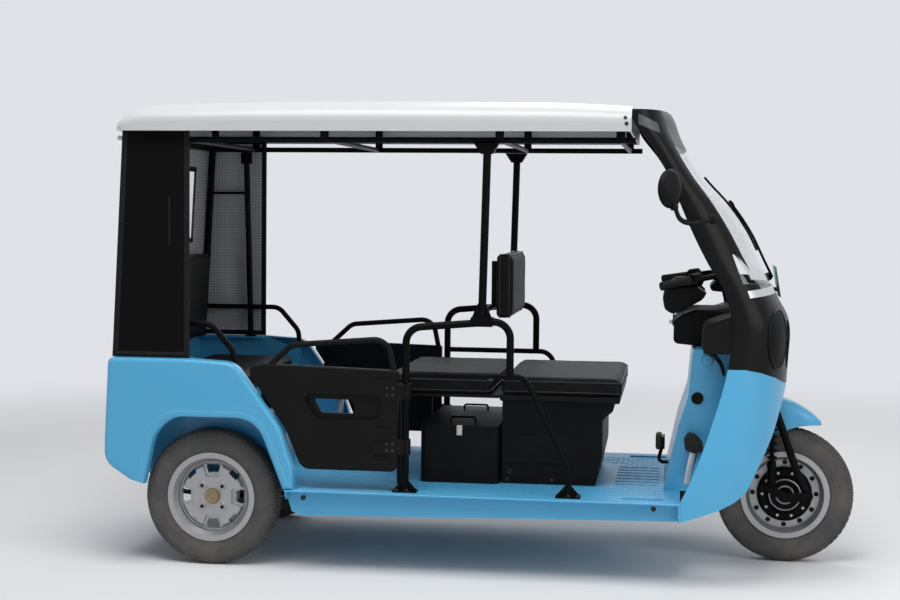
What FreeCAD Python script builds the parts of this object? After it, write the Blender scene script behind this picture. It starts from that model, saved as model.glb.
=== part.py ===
# Electric passenger tricycle with open sides, in millimetres.
# X runs forward, Y to the vehicle's left and Z up. The origin is on the ground under the middle of the
# vehicle. Each sub-part is drawn from the rear axle and its placement carries it to the vehicle's middle.
import FreeCAD, Part
import math
import os
import re
import Sketcher
from FreeCAD import Placement, Rotation, Vector

# Driving sizes. Places along X are measured forward of the rear axle unless the name says otherwise.
WHOLE = {
    "wheelbase": 2207,
    "rear_overhang": 404,
    "body_half_width": 585,
    "frame_half_width": 525,
    "floor_height": 316,
    "body_skin": 6,
    "seam_gap": 0.3,
    "running_gap": 8,
    "overrun": 40,
    "plate_hole_spacing": 180,
    "plate_hole_height": 600,
    "plate_hole_radius": 3.5,
    "floor_front": 1731,
    "floor_step": 300,
    "quarter_front": 352,
    "quarter_depth": 48,
    "quarter_round": 16,
    "sill_rear": 312,
    "sill_front": 1795,
    "sill_width": 40,
    "sill_rise": 16,
    "sill_lip": 8,
    "riser_setback": 16,
    "ledge_width": 50,
    "wheel_house_inner": 390,
    "wheel_house_outer": 520,
    "wheel_house_top": 600,
}
WHEELS = {
    "front_tyre_radius": 268,
    "rear_tyre_radius": 264,
    "front_tyre_width": 98,
    "rear_tyre_width": 104,
    "rear_track": 924,
    "bead_radius": 157,
    "rim_flange_radius": 173,
    "rim_width": 92,
    "rim_sheet": 5,
    "rim_well_depth": 14,
    "disc_dish": 22,
    "window_inner": 86,
    "window_outer": 124,
    "window_half_width": 28,
    "window_margin": 11,
    "pocket_depth": 9,
    "lug_circle_radius": 57,
    "lug_nut_radius": 11,
    "lug_nut_height": 9,
    "rear_drum_radius": 92,
    "rear_drum_width": 52,
    "front_drum_radius": 108,
    "front_drum_width": 84,
    "axle_radius": 10,
    "hub_cap_radius": 27,
    "hub_cap_height": 14,
    "tyre_shoulder_radius": 30,
}
CHASSIS = {
    "rail_half_gap": 270,
    "rail_width": 40,
    "rail_height": 46,
    "rail_bottom": 263.7,
    "kickup_height": 362,
    "kickup_front": 100,
    "kickup_run": 40,
    "rail_rear": -330,
    "rail_front": 1820,
    "cross_member_width": 40,
    "axle_tube_radius": 34,
    "axle_motor_radius": 82,
    "axle_motor_length": 210,
    "spring_half_length": 280,
    "spring_leaf_width": 50,
    "spring_leaf_height": 8,
    "spring_eye_drop": 10.3,
    "head_tube_radius": 30,
    "head_tube_length": 150,
    "head_frame_radius": 19,
    "cross_member_inset": 6,
    "strut_bend": 124,
    "strut_half_gap": 135,
    "strut_knee": 1868,
    "strut_knee_height": 630,
}
STEERING = {
    "steering_rake_share": 0.3522,
    "steering_axis_ahead": 76,
    "fork_half_width": 88,
    "fork_leg_radius": 15,
    "crown_height": 685,
    "crown_plate": 26,
    "crown_depth": 48,
    "stem_radius": 15,
    "stem_top_height": 1085,
    "pivot_ahead_of_axle": 85,
    "pivot_height": 275,
    "link_width": 34,
    "link_plate": 10,
    "damper_behind_axle": 56,
    "damper_lower_height": 296,
    "damper_upper_height": 560,
    "damper_spring_radius": 21,
    "damper_body_radius": 14,
    "spring_wire_radius": 4,
    "handlebar_radius": 11,
    "handlebar_half_width": 330,
    "handlebar_sweep": 272,
    "switch_radius": 26,
    "switch_length": 48,
    "lever_radius": 6,
    "pod_half_width": 92,
    "pod_half_depth": 52,
    "pod_height": 74,
    "grip_radius": 17,
    "grip_length": 130,
    "fender_half_width": 66,
    "fender_wall": 4,
    "fender_clearance": 20,
    "fender_rise": 96,
    "fender_front_share": 0.064,
    "fender_rear_share": 0.155,
}
SHELL = {
    "shell_bottom": 215,
    "shell_height": 1540,
    "shell_rear_behind_axle": 607,
    "shell_length": 617,
    "shell_half_width": 555,
    "shell_open_back": 120,
    "cowl_wall": 8,
    "pillar_wall": 26,
    "glass_wall": 5,
    "glass_gap": 0.4,
    "roof_lamp_width": 60,
    "lamp_side": 262,
    "lamp_rise": 80,
    "lamp_recess": 26,
    "lamp_half_width": 62,
    "lamp_half_height": 92,
    "shield_half_width": 300,
    "shield_lean": 104,
    "dash_rear": 1760,
    "dash_wing_rear": 1868,
    "dash_front": 1985,
    "dash_bottom": 861,
    "dash_top": 1004,
    "dash_half_width": 172,
    "dash_round": 10,
    "mirror_reach": 125,
    "mirror_arm_radius": 6,
    "mirror_half_depth": 22,
    "mirror_half_width": 54,
    "mirror_half_height": 72,
    "pedal_side": 150,
    "pedal_half_width": 40,
    "tail_lamp_half_gap": 420,
    "tail_lamp_drop": 160,
    "tail_lamp_width": 80,
    "tail_lamp_depth": 18,
}
ROOF = {
    "roof_rear": -347,
    "roof_front": 1598,
    "roof_half_width": 592,
    "roof_edge": 1672,
    "roof_top": 1800,
    "roof_wall": 7,
    "roof_rail_radius": 11,
    "roof_rail_height": 1642,
    "roof_rail_rear": -318,
    "roof_bracket_width": 32,
    "roof_bracket_half_gap": 532,
}
CABIN = {
    "tube_radius": 14,
    "thin_tube_radius": 11,
    "hoop_rear": 766,
    "hoop_front": 1160,
    "hoop_rear_height": 938,
    "hoop_front_height": 972,
    "hoop_bend": 62,
    "lower_rail_height": 764,
    "guard_knee": 1216,
    "guard_foot": 1383,
    "guard_foot_height": 425,
    "mid_post": 1052,
    "post_radius": 15,
    "foot_plate": 6,
    "foot_length": 92,
    "foot_width": 50,
    "gusset_half_width": 40,
    "gusset_height": 72,
    "rear_post_foot": -129,
    "rear_post_top": -152,
    "armrest_height": 938,
    "armrest_front": 90,
    "armrest_run": 90,
    "armrest_foot": 772,
    "side_curtain_rear": -380,
    "side_curtain_front": -70,
    "side_curtain_wall": 8,
    "rear_curtain_lean": 48,
    "rear_upright_inset": 20,
    "side_curtain_half_width": 556,
    "belt_height": 806,
}
SEATS = {
    "seat_front": 100,
    "seat_top": 728,
    "seat_cushion_height": 76,
    "seat_half_width": 430,
    "seat_rear": -298,
    "backrest_rear": -371.9,
    "backrest_thickness": 66,
    "backrest_bottom": 802,
    "backrest_top": 1190,
    "bench_rear": 640,
    "bench_split": 1090,
    "bench_half_width": 400,
    "driver_seat_front": 1582,
    "driver_seat_top": 742,
    "driver_cushion_height": 66,
    "driver_half_width": 380,
    "cushion_round": 18,
    "base_half_width": 268,
    "base_rear": 1104,
    "base_front": 1537,
    "base_groove": 3,
    "seat_tray_height": 26,
    "driver_backrest_half_width": 270,
    "driver_backrest_bottom": 952,
    "driver_backrest_top": 1222,
    "driver_backrest_wall": 62,
    "box_rear": 785,
    "box_round": 24,
    "handle_half_length": 50,
    "handle_rise": 20,
    "box_front": 1096,
    "box_half_width": 300,
    "box_base": 350,
    "box_top": 528,
    "lid_height": 14,
    "battery_rear": -218,
    "battery_length": 250,
    "battery_height": 200,
}
DOORS = {
    "door_wall": 30,
    "door_rear": 154,
    "door_front": 740,
    "door_bottom": 394,
    "door_top": 788,
    "door_outer": 556,
    "door_round": 7,
    "door_tube_rise": 108,
    "hinge_low": 488,
    "hinge_high": 698,
    "hinge_length": 58,
    "sleeve_wall": 6,
}
SIZES = {**WHOLE, **WHEELS, **CHASSIS, **STEERING, **SHELL, **ROOF, **CABIN, **SEATS, **DOORS}

DOC = FreeCAD.newDocument("passenger_tricycle")
SHEET = DOC.addObject("Spreadsheet::Sheet", "Sizes")
SUBPARTS = []
RIGHT = -1
LEFT = 1
SIDE_NAMES = {RIGHT: "right", LEFT: "left"}
SHIFT = "(rear_overhang - wheelbase - front_tyre_radius) / 2"


class SheetValues:
    """Reads a named size from the sheet as a number."""

    def __getattr__(self, name):
        return float(SHEET.get(name))


S = SheetValues()


# The document: sheet, bodies, sketches and features

def fill_sheet():
    """Write each driving size to its own named cell."""
    for row, (name, size) in enumerate(SIZES.items(), start=1):
        SHEET.set("A%d" % row, name)
        SHEET.set("B%d" % row, str(size))
        SHEET.setAlias("B%d" % row, name)
    DOC.recompute()


def bound(text):
    """The expression with each size name written as a cell of the sheet."""
    return re.sub(r"[a-z][a-z_]+", lambda found: "Sizes." + found.group(), str(text))


def value(text):
    """The number that an expression of size names gives."""
    return float(SHEET.evalExpression(bound(text)))


def place(item, x="0", y="0", z="0"):
    """Bind an object's placement, with X carried from the rear axle to the vehicle's middle."""
    item.setExpression("Placement.Base.x", bound("(%s) + %s" % (x, SHIFT)))
    item.setExpression("Placement.Base.y", bound(y))
    item.setExpression("Placement.Base.z", bound(z))


def new_body(name, x="0", y="0", z="0"):
    """An empty body that becomes one sub-part."""
    body = DOC.addObject("PartDesign::Body", name)
    body.Label = name
    place(body, x, y, z)
    SUBPARTS.append(body)
    return body


def new_feature(name, shape, x="0", y="0", z="0"):
    """A sub-part whose shape comes from curves that sketches do not draw."""
    feature = DOC.addObject("Part::Feature", name)
    feature.Label = name
    feature.Shape = shape
    place(feature, x, y, z)
    SUBPARTS.append(feature)
    return feature


def origin_part(body, role):
    """The body's own plane or axis with this role."""
    return [item for item in body.Origin.OriginFeatures if item.Role == role][0]


def outline(body, role, offset, points):
    """A closed sketch through points given as pairs of expressions."""
    sketch = body.newObject("Sketcher::SketchObject", "outline")
    sketch.AttachmentSupport = [(origin_part(body, role), "")]
    sketch.MapMode = "FlatFace"
    sketch.setExpression("AttachmentOffset.Base.z", bound(offset))
    corners = [Vector(value(across), value(up), 0) for across, up in points]
    count = len(corners)
    for index in range(count):
        sketch.addGeometry(Part.LineSegment(corners[index], corners[(index + 1) % count]))
    for index in range(count):
        sketch.addConstraint(Sketcher.Constraint("Coincident", index, 2, (index + 1) % count, 1))
    for index, (across, up) in enumerate(points):
        for kind, text, now in (("DistanceX", across, corners[index].x), ("DistanceY", up, corners[index].y)):
            row = sketch.addConstraint(Sketcher.Constraint(kind, -1, 1, index, 1, now))
            sketch.setExpression("Constraints[%d]" % row, bound(text))
    return sketch


def ring(body, role, offset, across, up, radius):
    """A sketch with one circle whose centre and radius are expressions."""
    sketch = body.newObject("Sketcher::SketchObject", "ring")
    sketch.AttachmentSupport = [(origin_part(body, role), "")]
    sketch.MapMode = "FlatFace"
    sketch.setExpression("AttachmentOffset.Base.z", bound(offset))
    centre = Vector(value(across), value(up), 0)
    sketch.addGeometry(Part.Circle(centre, Vector(0, 0, 1), value(radius)))
    rows = (("DistanceX", across, centre.x), ("DistanceY", up, centre.y))
    for kind, text, now in rows:
        row = sketch.addConstraint(Sketcher.Constraint(kind, -1, 1, 0, 3, now))
        sketch.setExpression("Constraints[%d]" % row, bound(text))
    row = sketch.addConstraint(Sketcher.Constraint("Radius", 0, value(radius)))
    sketch.setExpression("Constraints[%d]" % row, bound(radius))
    return sketch


def pad(body, sketch, length, backwards=False):
    """Pad a sketch along its normal, or against it."""
    feature = body.newObject("PartDesign::Pad", "pad")
    feature.Profile = sketch
    feature.setExpression("Length", bound(length))
    feature.Reversed = backwards
    DOC.recompute()
    return feature


def cut_through(body, sketch):
    """Cut a sketch right through, both ways."""
    feature = body.newObject("PartDesign::Pocket", "cut")
    feature.Profile = sketch
    feature.Type = "ThroughAll"
    feature.SideType = "Symmetric"
    DOC.recompute()
    return feature


def cut_depth(body, sketch, length, backwards=False):
    """Cut a sketch to a depth, against its normal or along it."""
    feature = body.newObject("PartDesign::Pocket", "recess")
    feature.Profile = sketch
    feature.setExpression("Length", bound(length))
    feature.Reversed = backwards
    DOC.recompute()
    return feature


def revolve(body, sketch, axis="H_Axis"):
    """Turn a sketch round one of its own axes."""
    feature = body.newObject("PartDesign::Revolution", "turned")
    feature.Profile = sketch
    feature.ReferenceAxis = (sketch, [axis])
    feature.Angle = 360
    DOC.recompute()
    return feature


def polar(body, feature, role, count):
    """Repeat a feature round one of the body's axes."""
    pattern = body.newObject("PartDesign::PolarPattern", "pattern")
    pattern.Originals = [feature]
    pattern.Axis = (origin_part(body, role), [""])
    pattern.Angle = 360
    pattern.Occurrences = count
    body.Tip = pattern
    DOC.recompute()
    return pattern


def round_edges(body, base, radius, test):
    """Fillet the edges of a feature that pass a test."""
    names = ["Edge%d" % (row + 1) for row, edge in enumerate(base.Shape.Edges) if test(edge)]
    fillet = body.newObject("PartDesign::Fillet", "rounded")
    fillet.Base = (base, names)
    fillet.setExpression("Radius", bound(radius))
    DOC.recompute()
    return fillet


def inward(side):
    """Whether a pad on the XZ plane runs against its normal to go inwards on this side."""
    return side == RIGHT


def off_side(side, text):
    """Offset of an XZ sketch plane that stands this far out on one side."""
    return "(%s) * %d" % (text, -side)


# Curved bars and shells

def rounded_path(points, bend):
    """Straight runs through the points, joined by tangent arcs of one bend radius."""
    edges = []
    start = points[0]
    for index in range(1, len(points) - 1):
        corner = points[index]
        back = (points[index - 1] - corner).normalize()
        ahead = (points[index + 1] - corner).normalize()
        half_turn = (math.pi - back.getAngle(ahead)) / 2
        shorter = min((points[index - 1] - corner).Length, (points[index + 1] - corner).Length)
        reach = min(bend * math.tan(half_turn), shorter / 2)
        radius = reach / math.tan(half_turn)
        inner = (back + ahead).normalize()
        first = corner + back * reach
        last = corner + ahead * reach
        middle = corner + inner * (radius / math.cos(half_turn) - radius)
        edges.append(Part.LineSegment(start, first).toShape())
        edges.append(Part.Arc(first, middle, last).toShape())
        start = last
    edges.append(Part.LineSegment(start, points[-1]).toShape())
    return Part.Wire(edges)


def bent_tube(points, radius, bend):
    """A round bar along a rounded path."""
    path = rounded_path(points, bend)
    section = Part.Wire([Part.Circle(points[0], points[1] - points[0], radius).toShape()])
    return path.makePipeShell([section], True, False)


def straight_bar(start, end, radius):
    """A round bar between two points."""
    return Part.makeCylinder(radius, (end - start).Length, start, end - start)


def block(low, high):
    """A box between two corners."""
    size = high - low
    return Part.makeBox(size.x, size.y, size.z, low)


def rounded_face(corners, bends):
    """A flat face through the corners, each rounded by an arc of its own bend radius."""
    count = len(corners)
    arcs = []
    for index, corner in enumerate(corners):
        back = corners[index - 1] - corner
        ahead = corners[(index + 1) % count] - corner
        shorter = min(back.Length, ahead.Length)
        back.normalize()
        ahead.normalize()
        half_turn = (math.pi - back.getAngle(ahead)) / 2
        reach = min(bends[index] * math.tan(half_turn), shorter * 0.49)
        if reach == 0:
            arcs.append((corner, corner, corner))
            continue
        gap = reach / math.tan(half_turn) * (1 / math.cos(half_turn) - 1)
        arcs.append((corner + back * reach, corner + (back + ahead).normalize() * gap, corner + ahead * reach))
    edges = []
    for index, (first, middle, last) in enumerate(arcs):
        if first != last:
            edges.append(Part.Arc(first, middle, last).toShape())
        edges.append(Part.LineSegment(last, arcs[(index + 1) % count][0]).toShape())
    return Part.Face(Part.Wire(edges))


def side_prism(points, low_y, high_y, bends=None):
    """A prism whose outline lies in the XZ plane, with its corners rounded where bends are given."""
    corners = [Vector(x, low_y, z) for x, z in points]
    return rounded_face(corners, bends or [0] * len(corners)).extrude(Vector(0, high_y - low_y, 0))


def spread(shares, low, high):
    """Points between a low and a high corner from rows that start with two shares."""
    return [(low[0] + (high[0] - low[0]) * row[0], low[1] + (high[1] - low[1]) * row[1]) for row in shares]


def soften(solid, y, radius):
    """Round the edges of a solid that lie in the plane at one Y."""
    edges = [edge for edge in solid.Edges if max(abs(edge.BoundBox.YMin - y), abs(edge.BoundBox.YMax - y)) < S.seam_gap]
    return solid.makeFillet(radius, edges)


def front_prism(points, low_x, high_x, bends=None):
    """A prism whose outline lies in the YZ plane, with its corners rounded where bends are given."""
    corners = [Vector(low_x, y, z) for y, z in points]
    return rounded_face(corners, bends or [0] * len(corners)).extrude(Vector(high_x - low_x, 0, 0))


def slopes(places, heights):
    """Slopes of a curve through points that never passes beyond its neighbours."""
    steps = [(heights[row + 1] - heights[row]) / (places[row + 1] - places[row]) for row in range(len(places) - 1)]
    inner = [0 if back * ahead <= 0 else 2 * back * ahead / (back + ahead) for back, ahead in zip(steps, steps[1:])]
    return [steps[0]] + inner + [steps[-1]]


def even_rows(rows, count):
    """Evenly spaced rows on smooth curves through each column of the given rows."""
    places = [row[0] for row in rows]
    columns = [[row[column] for row in rows] for column in range(1, len(rows[0]))]
    tangents = [slopes(places, column) for column in columns]
    even = []
    for step in range(count + 1):
        place_now = places[0] + (places[-1] - places[0]) * step / count
        left = max(row for row in range(len(places) - 1) if places[row] <= place_now)
        width = places[left + 1] - places[left]
        t = (place_now - places[left]) / width
        row = [place_now]
        for column, tangent in zip(columns, tangents):
            row.append((1 + 2 * t) * (1 - t) ** 2 * column[left] + t * (1 - t) ** 2 * width * tangent[left]
                       + t * t * (3 - 2 * t) * column[left + 1] + t * t * (t - 1) * width * tangent[left + 1])
        even.append(row)
    return even


def fused(shapes):
    """One solid from touching shapes."""
    return shapes[0].fuse(shapes[1:]).removeSplitter()


def mirrored(shape):
    """The same shape on the other side of the vehicle."""
    return shape.mirror(Vector(0, 0, 0), Vector(0, 1, 0))


# Wheels

def tyre(name, x, y, radius, width):
    """A plain tyre: bead between the flanges, bulged wall, rounded shoulder and tread."""
    body = new_body(name, x, y, radius)
    belt_share = 0.46
    bead = "(rim_width / 2 - rim_sheet - seam_gap)"
    widest = "bead_radius * 0.55 + %s * 0.45" % radius
    sketch = outline(body, "YZ_Plane", "0", [
        ("-" + bead, "bead_radius + seam_gap"),
        (bead, "bead_radius + seam_gap"),
        (bead, "rim_flange_radius + seam_gap"),
        ("%s / 2" % width, widest),
        ("%s * %s" % (width, belt_share), radius),
        ("-%s * %s" % (width, belt_share), radius),
        ("-%s / 2" % width, widest),
        ("-" + bead, "rim_flange_radius + seam_gap"),
    ])
    turned = revolve(body, sketch)
    tread = value(radius)
    round_edges(body, turned, "tyre_shoulder_radius",
                lambda edge: abs(edge.BoundBox.ZMax - tread) < S.seam_gap)
    return body


def rim_barrel(body):
    """The turned barrel of a rim with its drop centre and two flanges."""
    well = "(bead_radius - rim_well_depth)"
    edge = "rim_width / 2"
    sketch = outline(body, "YZ_Plane", "0", [
        ("-" + edge, "bead_radius - rim_sheet"),
        ("-rim_width / 4", well + " - rim_sheet"),
        ("rim_width / 4", well + " - rim_sheet"),
        (edge, "bead_radius - rim_sheet"),
        (edge, "rim_flange_radius"),
        (edge + " - rim_sheet", "rim_flange_radius"),
        (edge + " - rim_sheet", "bead_radius"),
        ("rim_width / 4", well),
        ("-rim_width / 4", well),
        ("-" + edge + " + rim_sheet", "bead_radius"),
        ("-" + edge + " + rim_sheet", "rim_flange_radius"),
        ("-" + edge, "rim_flange_radius"),
    ])
    return revolve(body, sketch)


def rim_disc(body, out, dish):
    """The dished disc inside the barrel: a raised middle, a step down and a turned-in edge."""
    well = "(bead_radius - rim_well_depth - rim_sheet / 2)"
    face = "(%d) * (%s)" % (out, dish)
    back = "(%d) * (%s - pocket_depth - rim_sheet)" % (out, dish)
    low = "(%d) * (%s - pocket_depth * 1.5)" % (out, dish)
    low_back = "(%d) * (%s - pocket_depth * 1.5 - rim_sheet)" % (out, dish)
    disc = outline(body, "YZ_Plane", "0", [
        (back, "0"),
        (face, "0"),
        (face, "window_outer - rim_sheet"),
        (low, "window_outer + rim_sheet"),
        (low, well),
        (low_back, well),
        (low_back, "window_outer - rim_sheet"),
        (back, "window_outer - rim_sheet * 3"),
    ])
    return revolve(body, disc)


def window_outline(body, offset, margin):
    """A window of the rear disc, grown by a margin: wide at the rim and narrow towards the hub."""
    return outline(body, "XZ_Plane", offset, [
        ("-window_half_width * 0.62 - %s" % margin, "window_inner - %s" % margin),
        ("window_half_width * 0.62 + %s" % margin, "window_inner - %s" % margin),
        ("window_half_width + %s" % margin, "window_outer - rim_sheet * 2"),
        ("window_half_width * 0.86 + %s" % margin, "window_outer + %s" % margin),
        ("-window_half_width * 0.86 - %s" % margin, "window_outer + %s" % margin),
        ("-window_half_width - %s" % margin, "window_outer - rim_sheet * 2"),
    ])


def rear_rim(name, y, side):
    """A pressed rear rim: four windows in sunken pockets, four slots between them and four lug nuts."""
    body = new_body(name, "0", y, "rear_tyre_radius")
    rim_barrel(body)
    rim_disc(body, side, "disc_dish")
    face = "(%d) * disc_dish" % -side
    pocket = cut_depth(body, window_outline(body, face, "window_margin"), "pocket_depth", side == LEFT)
    polar(body, pocket, "Y_Axis", 4)
    polar(body, cut_through(body, window_outline(body, "0", "0")), "Y_Axis", 4)
    middle = "(window_inner + window_outer) * 0.40"
    half = "rim_sheet * 1.3"
    slot = outline(body, "XZ_Plane", "0", [
        (middle + " - window_half_width / 2 - " + half, middle + " + window_half_width / 2 - " + half),
        (middle + " + window_half_width / 2 - " + half, middle + " - window_half_width / 2 - " + half),
        (middle + " + window_half_width / 2 + " + half, middle + " - window_half_width / 2 + " + half),
        (middle + " - window_half_width / 2 + " + half, middle + " + window_half_width / 2 + " + half),
    ])
    polar(body, cut_through(body, slot), "Y_Axis", 4)
    centre = "lug_circle_radius * 0.7071"
    nut = ring(body, "XZ_Plane", "(%d) * (disc_dish - rim_sheet)" % -side, centre, centre, "lug_nut_radius")
    polar(body, pad(body, nut, "lug_nut_height + rim_sheet", side == LEFT), "Y_Axis", 4)
    return body


def drum_and_cap(body, side):
    """The brake drum behind the disc and the hub cap in front of it."""
    inner = "(%d) * (disc_dish - pocket_depth - rim_sheet)" % -side
    drum = ring(body, "XZ_Plane", inner, "0", "0", "rear_drum_radius")
    pad(body, drum, "rear_drum_width - pocket_depth", side == RIGHT)
    cap = ring(body, "XZ_Plane", "(%d) * (disc_dish - rim_sheet)" % -side, "0", "0", "hub_cap_radius")
    pad(body, cap, "hub_cap_height + rim_sheet", side == LEFT)


def rear_wheel(side):
    """The tyre and rim of one rear wheel."""
    tag = SIDE_NAMES[side]
    y = "(%d) * rear_track / 2" % side
    tyre("rear_tyre_" + tag, "0", y, "rear_tyre_radius", "rear_tyre_width")
    drum_and_cap(rear_rim("rear_rim_" + tag, y, side), side)


def front_wheel():
    """The tyre of the front wheel, its rim with a slotted disc, and the hub motor inside it."""
    tyre("front_tyre", "wheelbase", "0", "front_tyre_radius", "front_tyre_width")
    body = new_body("front_rim", "wheelbase", "0", "front_tyre_radius")
    rim_barrel(body)
    well = "(bead_radius - rim_well_depth - rim_sheet / 2)"
    disc = outline(body, "YZ_Plane", "0", [
        ("-rim_sheet / 2", "front_drum_radius + seam_gap"),
        ("rim_sheet / 2", "front_drum_radius + seam_gap"),
        ("rim_sheet / 2", well),
        ("-rim_sheet / 2", well),
    ])
    revolve(body, disc)
    slot = ring(body, "XZ_Plane", "0", "0", "(front_drum_radius + %s) / 2" % well, "rim_sheet * 2")
    slots = 12
    polar(body, cut_through(body, slot), "Y_Axis", slots)
    hub = new_body("front_hub", "wheelbase", "0", "front_tyre_radius")
    shell = outline(hub, "YZ_Plane", "0", [
        ("-front_drum_width / 2", "0"),
        ("front_drum_width / 2", "0"),
        ("front_drum_width / 2", "front_drum_radius * 0.62"),
        ("front_drum_width / 2 - rim_sheet * 2", "front_drum_radius * 0.68"),
        ("front_drum_width / 2 - rim_sheet * 2", "front_drum_radius - rim_sheet * 2"),
        ("front_drum_width / 2 - rim_sheet * 4", "front_drum_radius"),
        ("-front_drum_width / 2 + rim_sheet * 4", "front_drum_radius"),
        ("-front_drum_width / 2 + rim_sheet * 2", "front_drum_radius - rim_sheet * 2"),
        ("-front_drum_width / 2 + rim_sheet * 2", "front_drum_radius * 0.68"),
        ("-front_drum_width / 2", "front_drum_radius * 0.62"),
    ])
    revolve(hub, shell)


# Front fork, bars and fender. They turn about the steering axis.

def steering_point(height, side=0.0):
    """The point of the steering axis at one height."""
    low = Vector(S.wheelbase + S.steering_axis_ahead, side, S.front_tyre_radius)
    return low + Vector(-S.steering_rake_share, 0, 1) * (height - S.front_tyre_radius)


def steering_direction():
    """The unit vector up the steering axis."""
    return Vector(-S.steering_rake_share, 0, 1).normalize()


def front_fork():
    """Two raked legs under a crown plate, with the stem that runs up through the head tube."""
    pivot = Vector(S.wheelbase + S.pivot_ahead_of_axle, 0, S.pivot_height)
    shapes = []
    for side in (RIGHT, LEFT):
        top = steering_point(S.crown_height, side * S.fork_half_width)
        knee = steering_point(S.pivot_height + S.front_tyre_radius / 3, side * S.fork_half_width)
        foot = Vector(pivot.x, side * S.fork_half_width, pivot.z)
        shapes.append(bent_tube([top, knee, foot], S.fork_leg_radius, S.front_tyre_radius))
        shapes.append(Part.makeCylinder(S.fork_leg_radius * 1.3, S.link_width,
                                        foot - Vector(0, S.link_width / 2, 0), Vector(0, 1, 0)))
        hanger = Vector(S.wheelbase - S.damper_behind_axle, side * S.fork_half_width, S.damper_upper_height)
        shapes.append(straight_bar(steering_point(S.damper_upper_height, side * S.fork_half_width),
                                   hanger, S.damper_body_radius))
    centre = steering_point(S.crown_height)
    reach = S.fork_half_width + S.fork_leg_radius
    plate = Part.makeBox(S.crown_depth, reach * 2, S.crown_plate,
                         Vector(-S.crown_depth / 2, -reach, -S.crown_plate / 2))
    plate.Placement = Placement(centre, Rotation(Vector(0, 0, 1), steering_direction())).multiply(plate.Placement)
    shapes.append(plate)
    shapes.append(straight_bar(centre, steering_point(S.stem_top_height), S.stem_radius))
    new_feature("front_fork", fused(shapes))


def front_suspension():
    """On each side a trailing link from the fork foot past the axle to its damper, with the axle."""
    shapes = []
    axle = Vector(S.wheelbase, 0, S.front_tyre_radius)
    reach = S.fork_half_width + S.link_width / 2 + S.link_plate
    for side in (RIGHT, LEFT):
        y = side * (S.fork_half_width + S.link_width / 2 + S.seam_gap) - (S.link_plate if side == RIGHT else 0)
        ends = [(S.wheelbase + S.pivot_ahead_of_axle, S.pivot_height),
                (S.wheelbase, S.front_tyre_radius),
                (S.wheelbase - S.damper_behind_axle, S.damper_lower_height)]
        half = S.link_width / 2
        top = [(x, z + half) for x, z in ends]
        bottom = [(x, z - half) for x, z in reversed(ends)]
        shapes.append(side_prism(top + bottom, y, y + S.link_plate))
        low = Vector(ends[2][0], side * S.fork_half_width, ends[2][1])
        high = Vector(ends[2][0], side * S.fork_half_width, S.damper_upper_height - S.damper_body_radius)
        middle = low + (high - low) * 0.45
        shapes.append(straight_bar(low, middle, S.damper_spring_radius * 0.8))
        shapes.append(straight_bar(middle, high, S.damper_body_radius * 0.6))
        width = S.link_width + S.link_plate
        start = low - Vector(0, width / 2 - side * S.link_plate / 2, 0)
        shapes.append(Part.makeCylinder(S.damper_body_radius, width, start, Vector(0, 1, 0)))
        coils = 5
        pitch = (high - middle).Length / coils
        for turn in range(coils):
            at = middle + Vector(0, 0, pitch * (turn + 0.5))
            coil = S.damper_spring_radius - S.spring_wire_radius
            shapes.append(Part.makeTorus(coil, S.spring_wire_radius, at))
            shapes.append(Part.makeCylinder(coil, S.spring_wire_radius / 2, at))
    inner = S.front_drum_width / 2 + S.seam_gap
    for side in (RIGHT, LEFT):
        shapes.append(straight_bar(axle + Vector(0, side * reach, 0), axle + Vector(0, side * inner, 0), S.axle_radius))
    right = fused([shape for shape in shapes if shape.BoundBox.YMax < 0])
    left = fused([shape for shape in shapes if shape.BoundBox.YMin > 0])
    new_feature("front_suspension", Part.makeCompound([right, left]))


def handlebar():
    """A bar clamped on the stem that sweeps back to the hands, with instrument pod, switches and brake lever."""
    up = steering_direction()
    clamp = steering_point(S.stem_top_height)
    centre = clamp + up * (S.link_width / 2)
    shapes = [Part.makeCylinder(S.stem_radius * 1.7, S.link_width, clamp + up * S.seam_gap, up)]
    half = []
    for side in (RIGHT, LEFT):
        out = side * S.handlebar_half_width
        half.append([centre + Vector(0, out * 0.25, 0),
                     centre + Vector(-S.handlebar_sweep * 0.3, out * 0.62, S.link_width),
                     centre + Vector(-S.handlebar_sweep, out, 0)])
    shapes.append(bent_tube([half[0][2], half[0][1], half[0][0], half[1][0], half[1][1], half[1][2]],
                            S.handlebar_radius, S.hoop_bend / 2))
    grips = []
    for run in half:
        back = (run[1] - run[2]).normalize()
        start = run[2] - back * S.foot_plate
        bore = Part.makeCylinder(S.handlebar_radius + S.seam_gap, S.grip_length + S.overrun, run[2] - back * S.seam_gap, back)
        grips.append(Part.makeCylinder(S.grip_radius, S.grip_length, start, back).cut(bore))
        inner = start + back * (S.grip_length + S.seam_gap)
        switch = Part.makeCylinder(S.switch_radius, S.switch_length, inner, back)
        shapes.append(switch.makeFillet(S.switch_radius * 0.3, switch.Edges))
        shapes.append(hand_lever(inner + back * S.switch_length / 2, back, run[2]))
    shapes.append(instrument_pod(centre))
    new_feature("handlebar", fused(shapes))
    new_feature("hand_grips", Part.makeCompound(grips))


def hand_lever(root, along, tip):
    """A lever from its switch, held out in front of one grip and drawn in at its tip."""
    ahead = along.cross(Vector(0, 0, 1)).normalize() * (S.grip_radius * 2.6)
    if ahead.x < 0:
        ahead = -ahead
    drop = Vector(0, 0, S.grip_radius / 2)
    middle = root + ahead - along * S.switch_length / 2 - drop
    return bent_tube([root, middle, tip + ahead * 0.8 - drop], S.lever_radius, S.grip_radius)


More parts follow.
